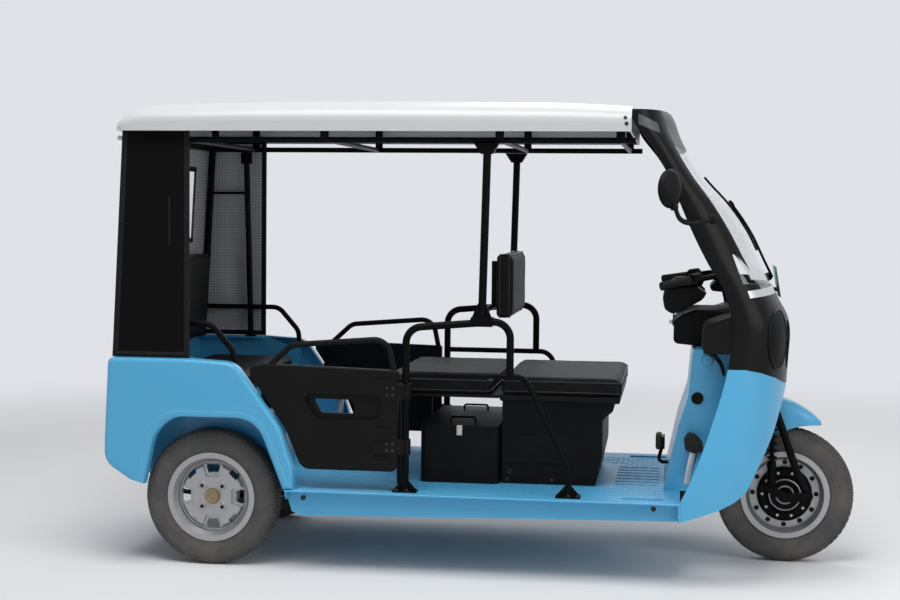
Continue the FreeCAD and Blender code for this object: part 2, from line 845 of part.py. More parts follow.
def instrument_pod(centre):
    """The rounded instrument housing round the bar clamp, sloped towards the rider."""
    rear = centre.x - S.pod_half_depth * 2
    front = centre.x + S.pod_half_depth / 2
    low = centre.z - S.pod_height / 2
    high = centre.z + S.pod_height / 2
    corners = [(rear, low + S.pod_height * 0.15), (front, low), (front, high), (rear + S.pod_half_depth, high)]
    bends = [S.pod_height * 0.2] * len(corners)
    pod = side_prism(corners, -S.pod_half_width, S.pod_half_width, bends)
    for side in (RIGHT, LEFT):
        pod = soften(pod, side * S.pod_half_width, S.pod_height * 0.15)
    end = steering_point(S.stem_top_height) + steering_direction() * S.seam_gap
    return pod.cut(straight_bar(steering_point(S.crown_height), end, S.stem_radius + S.seam_gap))


def fender_curve(drawn_in):
    """Half-round section of the fender over the tyre, drawn in by a wall."""
    half = S.fender_half_width - drawn_in
    edge = S.front_tyre_radius + S.fender_clearance
    rise = S.fender_rise - drawn_in
    shares = ((1.0, 0.0), (0.86, 0.6), (0.52, 0.92), (0.0, 1.0), (-0.52, 0.92), (-0.86, 0.6), (-1.0, 0.0))
    curve = Part.BSplineCurve()
    curve.interpolate([Vector(0, half * across, edge + rise * up) for across, up in shares])
    return curve


def front_fender():
    """A crowned fender round the tyre that turns with the fork, on a stay down from the crown."""
    outer = fender_curve(0)
    inner = fender_curve(S.fender_wall)
    wire = Part.Wire([outer.toShape(),
                      Part.LineSegment(outer.value(outer.LastParameter), inner.value(inner.LastParameter)).toShape(),
                      inner.toShape(),
                      Part.LineSegment(inner.value(inner.FirstParameter), outer.value(outer.FirstParameter)).toShape()])
    face = Part.Face(wire)
    middle = Vector(0, 0, 0)
    across = Vector(0, 1, 0)
    face.rotate(middle, across, 360 * S.fender_front_share)
    band = face.revolve(middle, across, -360 * (S.fender_front_share + S.fender_rear_share))
    band.translate(Vector(S.wheelbase, 0, S.front_tyre_radius))
    top = steering_point(S.crown_height) - steering_direction() * (S.crown_plate / 2 + S.seam_gap)
    foot = steering_point(S.front_tyre_radius * 2 + S.fender_clearance + S.fender_rise - S.fender_wall * 4)
    stay = straight_bar(top, foot, S.stem_radius)
    new_feature("front_fender", fused([band, stay]))


# Frame, axle and springs under the floor

def chassis_frame():
    """Two rails that kick up over the rear axle, cross members, and the head tube on its two struts."""
    shapes = []
    high = (S.kickup_front - S.kickup_run, S.kickup_height)
    for side in (RIGHT, LEFT):
        y = side * S.rail_half_gap - S.rail_width / 2
        low = [(S.rail_rear, S.kickup_height), high, (S.kickup_front, S.rail_bottom), (S.rail_front, S.rail_bottom)]
        top = [(x, z + S.rail_height) for x, z in reversed(low)]
        shapes.append(side_prism(low + top, y, y + S.rail_width))
    wide = S.frame_half_width - S.cross_member_width
    crossings = ((S.rail_rear, S.kickup_height, S.rail_half_gap), (S.kickup_front, S.rail_bottom, S.rail_half_gap),
                 (S.hoop_rear, S.rail_bottom, wide), (S.hoop_front, S.rail_bottom, wide),
                 (S.rail_front - S.cross_member_width, S.rail_bottom, S.rail_half_gap))
    for x, z, reach in crossings:
        shapes.append(block(Vector(x, -reach, z + S.cross_member_inset),
                            Vector(x + S.cross_member_width, reach, z + S.rail_height - S.cross_member_inset)))
    up = steering_direction()
    head_low = steering_point(S.crown_height) + up * (S.crown_plate / 2 + S.seam_gap)
    head = Part.makeCylinder(S.head_tube_radius, S.head_tube_length, head_low, up)
    bore = Part.makeCylinder(S.stem_radius + S.seam_gap, S.head_tube_length * 2, head_low - up * S.head_tube_length / 2, up)
    struts = []
    for side in (RIGHT, LEFT):
        y = side * S.strut_half_gap
        foot = Vector(S.rail_front - S.cross_member_width / 2, y, S.rail_bottom + S.rail_height / 2)
        knee = Vector(S.strut_knee, y, S.strut_knee_height)
        struts.append(bent_tube([foot, knee, head_low + up * S.head_tube_length / 2], S.head_frame_radius, S.strut_bend))
    shapes.append(fused([head] + struts).cut(bore))
    new_feature("chassis_frame", fused(shapes))


def rear_axle():
    """The axle tube with its motor and gear case, from drum to drum."""
    inner = S.rear_track / 2 + S.disc_dish - S.rim_sheet - S.rear_drum_width - S.seam_gap
    centre = Vector(0, 0, S.rear_tyre_radius)
    tube = straight_bar(centre - Vector(0, inner, 0), centre + Vector(0, inner, 0), S.axle_tube_radius)
    case = Part.makeSphere(S.axle_motor_radius, centre)
    motor = straight_bar(centre, centre - Vector(S.axle_motor_length, 0, 0), S.axle_motor_radius * 0.85)
    new_feature("rear_axle", fused([tube, case, motor]))


def leaf_springs():
    """A leaf slung under the axle on each side, with its saddle, front hanger and rear shackle."""
    springs = []
    half = S.spring_leaf_width / 2
    leaf = Vector(0, 0, S.spring_leaf_height)
    low = S.rear_tyre_radius - S.axle_tube_radius - S.seam_gap - S.spring_leaf_height
    eye = S.rail_bottom - S.spring_eye_drop
    ends = [Vector(-S.spring_half_length, 0, eye), Vector(S.spring_half_length, 0, eye)]
    lower = Part.Arc(ends[0] - leaf / 2, Vector(0, 0, low), ends[1] - leaf / 2)
    upper = Part.Arc(ends[0] + leaf / 2, Vector(0, 0, low) + leaf, ends[1] + leaf / 2)
    caps = [Part.LineSegment(end - leaf / 2, end + leaf / 2) for end in ends]
    wire = Part.Wire([lower.toShape(), caps[1].toShape(), upper.toShape(), caps[0].toShape()])
    for side in (RIGHT, LEFT):
        y = side * S.rail_half_gap
        across = Vector(0, y - half, 0)
        shapes = [Part.Face(wire).extrude(Vector(0, S.spring_leaf_width, 0)).translated(across)]
        for end in ends:
            shapes.append(Part.makeCylinder(S.axle_radius, S.spring_leaf_width, end + across, Vector(0, 1, 0)))
        plate = S.spring_leaf_height / 2
        saddle = block(Vector(-S.spring_leaf_width, y - half, low + plate),
                       Vector(S.spring_leaf_width, y + half, S.rear_tyre_radius))
        axle = straight_bar(Vector(0, y - S.spring_leaf_width, S.rear_tyre_radius),
                            Vector(0, y + S.spring_leaf_width, S.rear_tyre_radius), S.axle_tube_radius + S.seam_gap)
        shapes.append(saddle.cut(axle))
        for edge in (-half, half - plate):
            shapes.append(block(ends[0] + Vector(-S.axle_radius, y + edge, 0),
                                Vector(ends[0].x + S.axle_radius, y + edge + plate, S.kickup_height - S.seam_gap)))
        springs.append(fused(shapes))
    new_feature("leaf_springs", Part.makeCompound(springs))


# Blue body panels

def floor_pan():
    """The floor plate with a folded sill down each side, stiffening ribs and two raised treads."""
    body = new_body("floor_pan")
    rear = "seat_front - riser_setback + seam_gap"
    slot = "kickup_front"
    inner = "wheel_house_inner - body_skin"
    half = "body_half_width - body_skin"
    rail_in = "rail_half_gap - rail_width / 2 - body_skin"
    rail_out = "rail_half_gap + rail_width / 2 + body_skin"
    shield = "shield_half_width + seam_gap"
    right = [(rear, "-(%s)" % rail_in), (slot, "-(%s)" % rail_in), (slot, "-(%s)" % rail_out), (rear, "-(%s)" % rail_out),
             (rear, "-(%s)" % inner), ("floor_step + seam_gap", "-(%s)" % inner),
             ("floor_step + seam_gap", "-wheel_house_outer"), ("quarter_front", "-wheel_house_outer"),
             ("quarter_front", "-(%s)" % half), ("sill_front", "-(%s)" % half),
             ("sill_front", "-(%s)" % shield), ("floor_front", "-(%s)" % shield)]
    left = [(x, y[1:]) for x, y in reversed(right)]
    pad(body, outline(body, "XY_Plane", "floor_height - body_skin", right + left), "body_skin")
    for side in (RIGHT, LEFT):
        sill(body, side)
        tread = outline(body, "XY_Plane", "floor_height - body_skin / 2", [
            ("driver_seat_front", "(%d) * (frame_half_width - sill_width)" % side),
            ("sill_front - sill_width * 1.5", "(%d) * (frame_half_width - sill_width)" % side),
            ("sill_front - sill_width * 1.5", "(%d) * (frame_half_width - sill_rise / 2)" % side),
            ("driver_seat_front", "(%d) * (frame_half_width - sill_rise / 2)" % side),
        ])
        pad(body, tread, "body_skin * 1.5")
    for row in range(-3, 4):
        middle = "rail_half_gap * %d / 4" % row
        rib = outline(body, "YZ_Plane", "base_front + body_skin", [
            (middle + " - body_skin", "floor_height - body_skin / 2"),
            (middle + " + body_skin", "floor_height - body_skin / 2"),
            (middle + " + body_skin", "floor_height + body_skin / 2"),
            (middle + " - body_skin", "floor_height + body_skin / 2"),
        ])
        pad(body, rib, "floor_front - base_front - body_skin * 4")
    below = "shell_bottom - sill_width"
    sweep = outline(body, "XZ_Plane", "0", [
        ("sill_rear - sill_width", below),
        ("sill_front + sill_width", below),
        ("sill_front + sill_width", "shell_bottom + sill_rise * 2"),
        ("hoop_front", "shell_bottom + sill_rise * 1.2"),
        ("sill_rear + sill_width * 1.4", "shell_bottom"),
        ("sill_rear + sill_width / 2", "shell_bottom + sill_rise"),
        ("sill_rear", "floor_height - sill_rise"),
        ("sill_rear - sill_width", "floor_height - sill_rise"),
    ])
    cut_through(body, sweep)


def sill(body, side):
    """One folded sill: a lip under the floor line, a groove and a lower face that leans in."""
    out = "(%d) * (body_half_width - %s)"
    lip = "floor_height - sill_lip"
    groove = "shell_bottom + (floor_height - shell_bottom) * 0.56"
    fold = outline(body, "YZ_Plane", "sill_rear", [
        (out % (side, "sill_width"), "floor_height"),
        (out % (side, "sill_lip / 4"), "floor_height"),
        (out % (side, "0"), "floor_height - sill_lip / 4"),
        (out % (side, "0"), lip),
        (out % (side, "sill_lip / 2"), lip + " - sill_lip / 2"),
        (out % (side, "sill_lip / 2"), groove),
        (out % (side, "sill_lip / 8"), groove + " - sill_lip / 2"),
        (out % (side, "sill_lip * 1.6"), "shell_bottom"),
        (out % (side, "sill_width"), "shell_bottom"),
    ])
    pad(body, fold, "sill_front - sill_rear")
    room = outline(body, "YZ_Plane", "sill_rear + body_skin", [
        (out % (side, "sill_width + body_skin"), "floor_height - body_skin"),
        (out % (side, "sill_lip / 2 + body_skin"), "floor_height - body_skin"),
        (out % (side, "sill_lip / 2 + body_skin"), groove),
        (out % (side, "sill_lip * 1.6 + body_skin"), "shell_bottom - body_skin"),
        (out % (side, "sill_width + body_skin"), "shell_bottom - body_skin"),
    ])
    cut_depth(body, room, "sill_front - sill_rear - body_skin * 2", True)


# Shares of the body's side behind the door: along from the tail, up from the floor, and each corner's
# bend as a share of the height.
QUARTER_SHARES = (
    (0.020, 1.000, 0.05),
    (0.446, 1.000, 0.30),
    (0.683, 0.980, 0.18),
    (0.921, 0.478, 0.40),
    (0.987, 0.155, 0.10),
    (0.990, 0.000, 0.00),
    (0.221, 0.000, 0.00),
    (0.136, 0.034, 0.12),
    (0.000, 0.171, 0.15),
    (0.000, 0.340, 0.20),
)
# Shares of the rear tyre's radius for the wheel arch: ahead of the axle, up from the ground, and bend.
ARCH_SHARES = (
    (-0.996, 0.900, 0.00),
    (-0.720, 2.223, 0.57),
    (0.739, 2.223, 0.42),
    (1.260, 0.900, 0.00),
)


def side_face(y, inset, arched):
    """The outline of the body's side behind the door at one Y, drawn in by an inset."""
    low = (-S.rear_overhang, S.floor_height + S.seam_gap)
    high = (S.quarter_front, S.belt_height)
    corners = [Vector(x, y, z) for x, z in spread(QUARTER_SHARES, low, high)]
    face = rounded_face(corners, [row[2] * (high[1] - low[1]) for row in QUARTER_SHARES])
    if arched:
        radius = S.rear_tyre_radius
        arch = [Vector(x, y, z) for x, z in spread(ARCH_SHARES, (0, 0), (radius, radius))]
        face = face.cut(rounded_face(arch, [row[2] * radius for row in ARCH_SHARES])).Faces[0]
    return face.makeOffset2D(-inset) if inset else face


def quarter_block(inset):
    """The right quarter panel as a solid with a rounded outer edge, drawn in by an inset."""
    y = -S.body_half_width + inset
    depth = S.quarter_depth + inset
    solid = side_face(y, inset, True).extrude(Vector(0, depth, 0))
    return soften(solid, y, S.quarter_round - inset)


def quarter_panels():
    """The moulded side walls behind the doors, each with its turned edges and wheel arch."""
    panel = quarter_block(0).cut(quarter_block(S.body_skin))
    new_feature("quarter_panel_right", panel)
    new_feature("quarter_panel_left", mirrored(panel))


def tub_reach():
    """Half the width between the two quarter panels."""
    return S.body_half_width - S.quarter_depth - S.seam_gap


def tail_panel():
    """The curved panel across the back, from the belt line down under the body."""
    reach = tub_reach()
    across = Vector(0, reach * 2, 0)
    skin = side_face(-reach, 0, False).extrude(across).cut(side_face(-reach, S.body_skin, False).extrude(across))
    rear = -S.rear_overhang - S.overrun
    foot = -S.spring_half_length - S.axle_radius - S.running_gap
    wall = S.side_curtain_rear + S.side_curtain_wall - S.body_skin - S.seam_gap
    region = [(rear, S.floor_height), (foot, S.floor_height), (foot, S.kickup_height), (wall, S.kickup_height),
              (wall, S.belt_height), (rear, S.belt_height)]
    panel = skin.common(side_prism(region, -reach, reach))
    for side in (RIGHT, LEFT):
        hole = Vector(rear, side * S.plate_hole_spacing / 2, S.plate_hole_height)
        panel = panel.cut(straight_bar(hole, hole + Vector(S.overrun * 3, 0, 0), S.plate_hole_radius))
        panel = panel.cut(tail_lamp(side, S.seam_gap))
    new_feature("tail_panel", panel)


def seat_tub():
    """The moulded bench box: riser, seat shelf, back wall and side walls, with a box over each tyre."""
    reach = tub_reach()
    skin = S.body_skin
    front = S.seat_front - S.riser_setback
    back = S.side_curtain_rear + S.side_curtain_wall
    shelf = S.seat_top - S.seat_cushion_height - S.seam_gap
    belt = S.belt_height - S.seam_gap * 4
    riser = block(Vector(front - skin, -S.wheel_house_inner, S.floor_height + S.seam_gap),
                  Vector(front, S.wheel_house_inner, shelf))
    for side in (RIGHT, LEFT):
        half = S.rail_width / 2 + skin
        rise = S.kickup_height + skin
        riser = riser.cut(block(Vector(front - skin * 2, side * S.rail_half_gap - half, S.rail_bottom),
                                Vector(front + skin, side * S.rail_half_gap + half, rise)))
    shapes = [riser, block(Vector(back, -reach, shelf - skin), Vector(front, reach, shelf)),
              block(Vector(back - skin, -reach, shelf - skin), Vector(back, reach, belt))]
    for side in (RIGHT, LEFT):
        y = side * (reach - skin / 2) - skin / 2
        profile = [(back, shelf), (front, shelf), (S.seat_front, S.seat_top + skin * 3),
                   (S.side_curtain_front, belt), (back, belt)]
        shapes.append(side_prism(profile, y, y + skin))
        edges = sorted((side * reach, side * (reach - S.ledge_width)))
        shapes.append(block(Vector(back, edges[0], belt - skin), Vector(S.side_curtain_front, edges[1], belt)))
        shapes += wheel_house(side)
    new_feature("seat_tub", fused(shapes))


def wheel_house(side):
    """The inner wall, roof and front wall that box in one rear tyre."""
    skin = S.body_skin
    shelf = S.seat_top - S.seat_cushion_height - skin / 2
    rear = S.side_curtain_rear + S.side_curtain_wall
    low = S.rear_tyre_radius + S.axle_tube_radius
    riser = S.seat_front - S.riser_setback - skin / 2
    knee = (low + S.wheel_house_top) / 2
    y = side * S.wheel_house_inner
    profile = [(rear, knee), (-S.rear_tyre_radius, low), (S.floor_step, low), (S.floor_step, S.wheel_house_top),
               (riser, S.wheel_house_top), (riser, shelf), (rear, shelf)]
    wall = side_prism(profile, y - skin / 2, y + skin / 2)
    opening = straight_bar(Vector(0, y - skin, S.rear_tyre_radius), Vector(0, y + skin, S.rear_tyre_radius),
                           S.axle_tube_radius * 2.4)
    near = min(y, side * S.wheel_house_outer)
    far = max(y, side * S.wheel_house_outer)
    roof = block(Vector(riser, near, S.wheel_house_top - skin), Vector(S.floor_step, far, S.wheel_house_top))
    front = block(Vector(S.floor_step - skin, near, low), Vector(S.floor_step, far, S.wheel_house_top))
    cheek = block(Vector(riser - skin / 2, near, S.wheel_house_top - skin), Vector(riser + skin / 2, far, shelf))
    return [wall.cut(opening), roof, front, cheek]


def shield_line(inset):
    """Places up the bulkhead behind the front wheel, drawn forward by an inset."""
    shares = ((0, 0), (0.5, 0.45), (0.85, 0.66), (1, 1))
    low = (S.floor_front + S.seam_gap + inset, S.floor_height)
    return spread(shares, low, (low[0] + S.shield_lean, S.dash_bottom - S.seam_gap - inset))


def inner_shield():
    """The bulkhead behind the front wheel with its two side walls."""
    front = S.dash_front
    half = S.shield_half_width
    outer = shield_line(0)
    inner = shield_line(S.body_skin)
    bends = [0, half / 2, half / 2, S.body_skin * 3, 0, 0]
    shell = side_prism(outer + [(front, outer[-1][1]), (front, outer[0][1])], -half, half, bends)
    reach = half - S.body_skin
    beyond = front + S.overrun
    room = [(inner[0][0], 0)] + inner + [(beyond, inner[-1][1]), (beyond, 0)]
    walls = shell.cut(side_prism(room, -reach, reach, [0] + bends + [0]))
    slot = straight_bar(steering_point(S.crown_height), steering_point(S.stem_top_height), S.head_tube_radius * 1.6)
    new_feature("inner_shield", walls.cut(slot))


def d_section(z, rear, front, half, squareness, back):
    """A D-shaped wire at one height: squared round the front, with its sides run straight back."""
    count = 12
    points = []
    for row in range(count + 1):
        angle = math.pi * row / count
        across = math.cos(angle)
        ahead = math.sin(angle)
        y = half * math.copysign(abs(across) ** (2 / squareness), across)
        x = rear + (front - rear) * ahead ** (2 / squareness)
        points.append(Vector(x, y, z))
    curve = Part.BSplineCurve()
    curve.interpolate(points)
    corners = [points[-1], points[0]]
    if back:
        run = Vector(back, 0, 0)
        corners = [points[-1], points[-1] - run, points[0] - run, points[0]]
    sides = [Part.LineSegment(corners[row], corners[row + 1]).toShape() for row in range(len(corners) - 1)]
    return Part.Wire([curve.toShape()] + sides)


# Shares of the front shell: height, rear edge and front of each section, and half width.
FRONT_SHARES = (
    (0.000, 0.230, 0.915, 1.050),
    (0.120, 0.378, 0.932, 1.020),
    (0.250, 0.495, 0.955, 0.965),
    (0.384, 0.584, 0.977, 0.910),
    (0.471, 0.608, 0.987, 0.885),
    (0.555, 0.572, 0.897, 0.875),
    (0.640, 0.450, 0.787, 0.885),
    (0.711, 0.362, 0.700, 0.900),
    (0.789, 0.278, 0.560, 0.925),
    (0.836, 0.230, 0.448, 0.945),
    (0.899, 0.146, 0.340, 0.970),
    (0.965, 0.020, 0.262, 1.000),
    (1.000, 0.000, 0.225, 1.000),
)


def front_block(inset, open_back):
    """The front shell as a solid, drawn in by a wall thickness."""
    rear = S.wheelbase - S.shell_rear_behind_axle
    squareness = 2.8
    rows = even_rows(FRONT_SHARES, 24)
    sections = []
    for row, (height_share, rear_share, front_share, half_share) in enumerate(rows):
        z = S.shell_bottom + S.shell_height * height_share
        if row in (0, len(rows) - 1):
            z -= inset
        back = rear + S.shell_length * rear_share - inset / 2
        front = rear + S.shell_length * front_share - inset
        half = S.shell_half_width * half_share - inset
        sections.append(d_section(z, back, front, half, squareness, S.shell_open_back if open_back else 0))
    return Part.makeLoft(sections, True)


def front_shell(wall):
    """The hollow front shell with one wall thickness, open to the back and below."""
    return front_block(0, False).cut(front_block(wall, True))


# Shares of the front shell's length and height: the seam between the cowls, and the edge round the wheel.
SEAM_SHARES = ((0.000, 0.384), (0.686, 0.384), (0.783, 0.376), (0.870, 0.362), (0.964, 0.334))
WHEEL_EDGE_SHARES = ((0.940, 0.315), (0.867, 0.224), (0.770, 0.142), (0.708, 0.092), (0.640, 0.070), (0.549, 0.052),
                     (0.430, 0.036))


def shell_places(shares):
    """Places in the XZ plane from shares of the front shell's length and height."""
    rear = S.wheelbase - S.shell_rear_behind_axle
    return spread(shares, (rear, S.shell_bottom), (rear + S.shell_length, S.shell_bottom + S.shell_height))


def lower_cowl_outline():
    """Side outline of the blue cowl: seam on top, wheel opening in front, meeting the sill at the back."""
    rear = S.wheelbase - S.shell_rear_behind_axle
    foot = S.sill_front + S.seam_gap
    deck = S.floor_height + S.seam_gap
    low = S.shell_bottom + S.sill_rise * 2
    return shell_places(SEAM_SHARES + WHEEL_EDGE_SHARES) + [(foot, low), (foot, deck), (rear, deck)]


def upper_cowl_outline():
    """Side outline of the black cowl, above the blue one's seam and under the screen surround."""
    rear = S.wheelbase - S.shell_rear_behind_axle
    seam = [(x, z + S.seam_gap) for x, z in shell_places(SEAM_SHARES)]
    beyond = S.wheelbase + S.shell_length
    top = S.shell_bottom + S.shell_height * 0.55
    return seam + [(beyond, seam[-1][1]), (beyond, top), (rear, top)]


def soft_bends(outline_points, bend):
    """One bend radius for the corners of the wheel edge and none for the rest."""
    seam = len(SEAM_SHARES)
    last = seam + len(WHEEL_EDGE_SHARES)
    return [bend if seam - 1 <= row < last else 0 for row in range(len(outline_points))]


def lamp_prism(side, grow):
    """An upright oval prism along X at one headlamp."""
    oval = Part.Ellipse(Vector(0, 0, 0), S.lamp_half_height + grow, S.lamp_half_width + grow)
    wire = Part.Wire([oval.toShape()])
    wire.rotate(Vector(0, 0, 0), Vector(0, 1, 0), -90)
    wire.translate(Vector(S.wheelbase - S.shell_length * 0.5, side * S.lamp_side, S.belt_height + S.lamp_rise))
    return Part.Face(wire).extrude(Vector(S.shell_length, 0, 0))


def lamp_tunnel(side):
    """The oval tunnel that runs back from the cowl's face round one headlamp."""
    depth = S.lamp_recess + S.cowl_wall * 2
    room = front_block(-S.seam_gap / 3, False).cut(front_block(depth, True))
    return lamp_prism(side, S.cowl_wall / 2).cut(lamp_prism(side, 0)).common(room)


def lamp_lens(side):
    """The lens of one headlamp, set back in its tunnel."""
    front = front_block(S.lamp_recess, False)
    back = front_block(S.lamp_recess + S.cowl_wall, True)
    return front.cut(back).common(lamp_prism(side, -S.seam_gap * 2))


def quarter_light(grow):
    """The rounded triangle of a quarter window, as a prism across the vehicle."""
    rear = S.wheelbase - S.shell_rear_behind_axle
    shares = ((0.665, 0.588), (0.755, 0.588), (0.755, 0.600), (0.622, 0.658), (0.600, 0.658))
    corners = [Vector(rear + S.shell_length * x, 0, S.shell_bottom + S.shell_height * z) for x, z in shares]
    centre = sum(corners, Vector()) / len(corners)
    moved = [corner + (corner - centre).normalize() * grow for corner in corners]
    return side_prism([(corner.x, corner.z) for corner in moved], -S.body_half_width, S.body_half_width)


def screen_opening(grow):
    """The front outline of the windscreen, as a prism along X."""
    base = S.shell_bottom + S.shell_height * 0.575 - grow
    top = S.shell_bottom + S.shell_height * 0.915 + grow
    foot = S.shell_half_width * 0.74 + grow
    head = S.shell_half_width * 0.86 + grow
    low_x = S.wheelbase - S.shell_rear_behind_axle + S.shell_length * 0.1
    return front_prism([(-foot, base), (foot, base), (head, top), (-head, top)], low_x, S.wheelbase + S.overrun)


def fork_arch():
    """The opening in the nose for the fork crown at full lock, as a prism along X."""
    half = S.fork_half_width + S.crown_depth / 2
    foot = S.crown_height - S.fork_half_width
    top = S.crown_height + S.crown_depth
    return front_prism([(-half * 1.2, foot), (half * 1.2, foot), (half, top), (-half, top)],
                       S.wheelbase - S.shell_length / 2, S.wheelbase + S.shell_length / 2)


def front_end():
    """The cowls, screen surround, glass and lamps, cut from one swept shell at their seams."""
    reach = S.body_half_width + S.overrun
    thin = front_shell(S.cowl_wall)
    edge = lower_cowl_outline()
    lower = thin.common(side_prism(edge, -reach, reach, soft_bends(edge, S.shell_open_back / 2))).cut(fork_arch())
    new_feature("lower_cowl", lower)
    upper = thin.common(side_prism(upper_cowl_outline(), -reach, reach))
    lamps = []
    for side in (RIGHT, LEFT):
        upper = upper.cut(lamp_prism(side, 0)).fuse(lamp_tunnel(side))
        lamps += lamp_lens(side).Solids
    new_feature("upper_cowl", upper)
    seam = S.shell_bottom + S.shell_height * 0.55 + S.seam_gap
    band = block(Vector(S.roof_front + S.seam_gap, -reach, seam), Vector(S.wheelbase, reach, S.roof_top))
    surround = front_shell(S.pillar_wall).common(band).cut(screen_opening(0)).cut(quarter_light(0))
    new_feature("windscreen_surround", surround)
    glass = front_shell(S.glass_wall)
    screen = glass.common(screen_opening(-S.glass_gap))
    lights = glass.common(quarter_light(-S.glass_gap)).cut(screen_opening(S.overrun))
    new_feature("glazing", Part.makeCompound(screen.Solids + lights.Solids + [rear_window()]))
    lamps.append(roof_lamp())
    new_feature("front_lamps", Part.makeCompound(lamps))


def roof_lamp():
    """The marker lamp seated on the brow of the surround."""
    x = S.wheelbase - S.shell_rear_behind_axle + S.shell_length * 0.2
    z = S.shell_bottom + S.shell_height * 0.962
    size = Vector(S.roof_lamp_width / 2, S.roof_lamp_width, S.roof_lamp_width / 3)
    centre = Vector(x, 0, z)
    return block(centre - size, centre + size).cut(front_block(-S.seam_gap, False))


# Roof

ROOF_SHARES = (
    (0.000, 0.38, 0.985),
    (0.012, 0.62, 0.995),
    (0.035, 0.80, 1.000),
    (0.075, 0.90, 1.000),
    (0.450, 1.00, 1.000),
    (0.850, 0.95, 0.995),
    (1.000, 0.84, 0.985),
)


def roof_block(inset, drop):
    """The roof as a solid: sections along X with an upright edge, a shoulder and a crown."""
    sections = []
    length = S.roof_front - S.roof_rear
    rows = even_rows(ROOF_SHARES, 28)
    for row, (along_share, top_share, half_share) in enumerate(rows):
        x = S.roof_rear + length * along_share
        if row == 0:
            x += inset
        if row == len(rows) - 1:
            x -= inset
        half = S.roof_half_width * half_share - inset
        low = S.roof_edge - drop
        top = S.roof_edge + (S.roof_top - S.roof_edge) * top_share - inset
        rise = top - S.roof_edge
        shoulder = [Vector(x, half, S.roof_edge + rise * 0.3), Vector(x, half * 0.985, S.roof_edge + rise * 0.55),
                    Vector(x, half * 0.93, S.roof_edge + rise * 0.74), Vector(x, half * 0.6, S.roof_edge + rise * 0.93),
                    Vector(x, 0, top)]
        points = shoulder + [Vector(x, -point.y, point.z) for point in reversed(shoulder[:-1])]
        crown = Part.BSplineCurve()
        crown.interpolate(points)
        sections.append(Part.Wire([Part.LineSegment(Vector(x, -half, low), Vector(x, half, low)).toShape(),
                                   Part.LineSegment(Vector(x, half, low), points[0]).toShape(), crown.toShape(),
                                   Part.LineSegment(points[-1], Vector(x, -half, low)).toShape()]))
    return Part.makeLoft(sections, True)


def roof_shell():
    """The moulded roof, hollow underneath."""
    new_feature("roof_shell", roof_block(0, 0).cut(roof_block(S.roof_wall, S.overrun)))


def roof_frame():
    """Two rails under the roof, the cross tubes between them and the brackets up to the roof."""
    z = S.roof_rail_height
    y = S.frame_half_width - S.tube_radius
    half = S.roof_bracket_width / 2
    plate = S.body_skin / 2
    shapes = []
    for side in (RIGHT, LEFT):
        rear = Vector(S.roof_rail_rear, side * y, z)
        front = Vector(S.roof_front + S.tube_radius, side * y, z)
        shapes.append(straight_bar(rear, front, S.roof_rail_radius))
    room = roof_block(S.roof_wall + S.seam_gap, S.roof_wall)
    crossings = (S.roof_rail_rear + half, S.rear_post_top + half * 2.5, (S.rear_post_top + S.mid_post) / 2,
                 S.mid_post + half * 3.8, S.roof_front - half * 2.5)
    for x in crossings:
        shapes.append(straight_bar(Vector(x, -y, z), Vector(x, y, z), S.roof_rail_radius * 0.9))
        for side in (RIGHT, LEFT):
            out = side * S.roof_bracket_half_gap
            near, far = sorted((side * y, out))
            tall = block(Vector(x - half, out - plate, S.roof_edge), Vector(x + half, out + plate, S.roof_top))
            low = block(Vector(x - half, out - plate, z), Vector(x + half, out + plate, S.roof_edge))
            foot = block(Vector(x - half, near, z - plate), Vector(x + half, far, z + plate))
            shapes += [tall.common(room), low, foot]
    new_feature("roof_frame", fused(shapes))


# Side frames, rear frame and curtains

def foot_plate(x, y, z):
    """The bolted foot of an upright tube, with the web that stiffens it."""
    half = Vector(S.foot_length / 2, S.foot_width / 2, 0)
    middle = Vector(x, y, z)
    plate = block(middle - half, middle + half + Vector(0, 0, S.foot_plate))
    top = z + S.foot_plate
    web = [(x - half.x, top), (x + half.x, top), (x, top + S.foot_width)]
    return plate.fuse(side_prism(web, y - S.foot_plate / 2, y + S.foot_plate / 2))


def hoop_bar_height(x):
    """Height of the hoop's sloping top bar at one place."""
    share = (x - S.hoop_rear) / (S.hoop_front - S.hoop_rear)
    return S.hoop_rear_height + (S.hoop_front_height - S.hoop_rear_height) * share


def side_frame(side):
    """The hoop, the guard rail that slopes down to the floor, and the roof post."""
    y = side * S.frame_half_width
    floor = S.floor_height + S.seam_gap
    rail = S.lower_rail_height
    hoop = bent_tube([Vector(S.hoop_rear, y, floor), Vector(S.hoop_rear, y, S.hoop_rear_height),
                      Vector(S.hoop_front, y, S.hoop_front_height), Vector(S.hoop_front, y, rail)],
                     S.tube_radius, S.hoop_bend)
    guard = bent_tube([Vector(S.hoop_rear, y, rail), Vector(S.guard_knee, y, rail),
                       Vector(S.guard_foot, y, S.guard_foot_height), Vector(S.guard_foot, y, floor)],
                      S.thin_tube_radius, S.hoop_bend)
    feet = [foot_plate(x, y, floor) for x in (S.hoop_rear, S.guard_foot)]
    new_feature("side_frame_" + SIDE_NAMES[side], fused([hoop, guard] + feet + roof_post(y)))


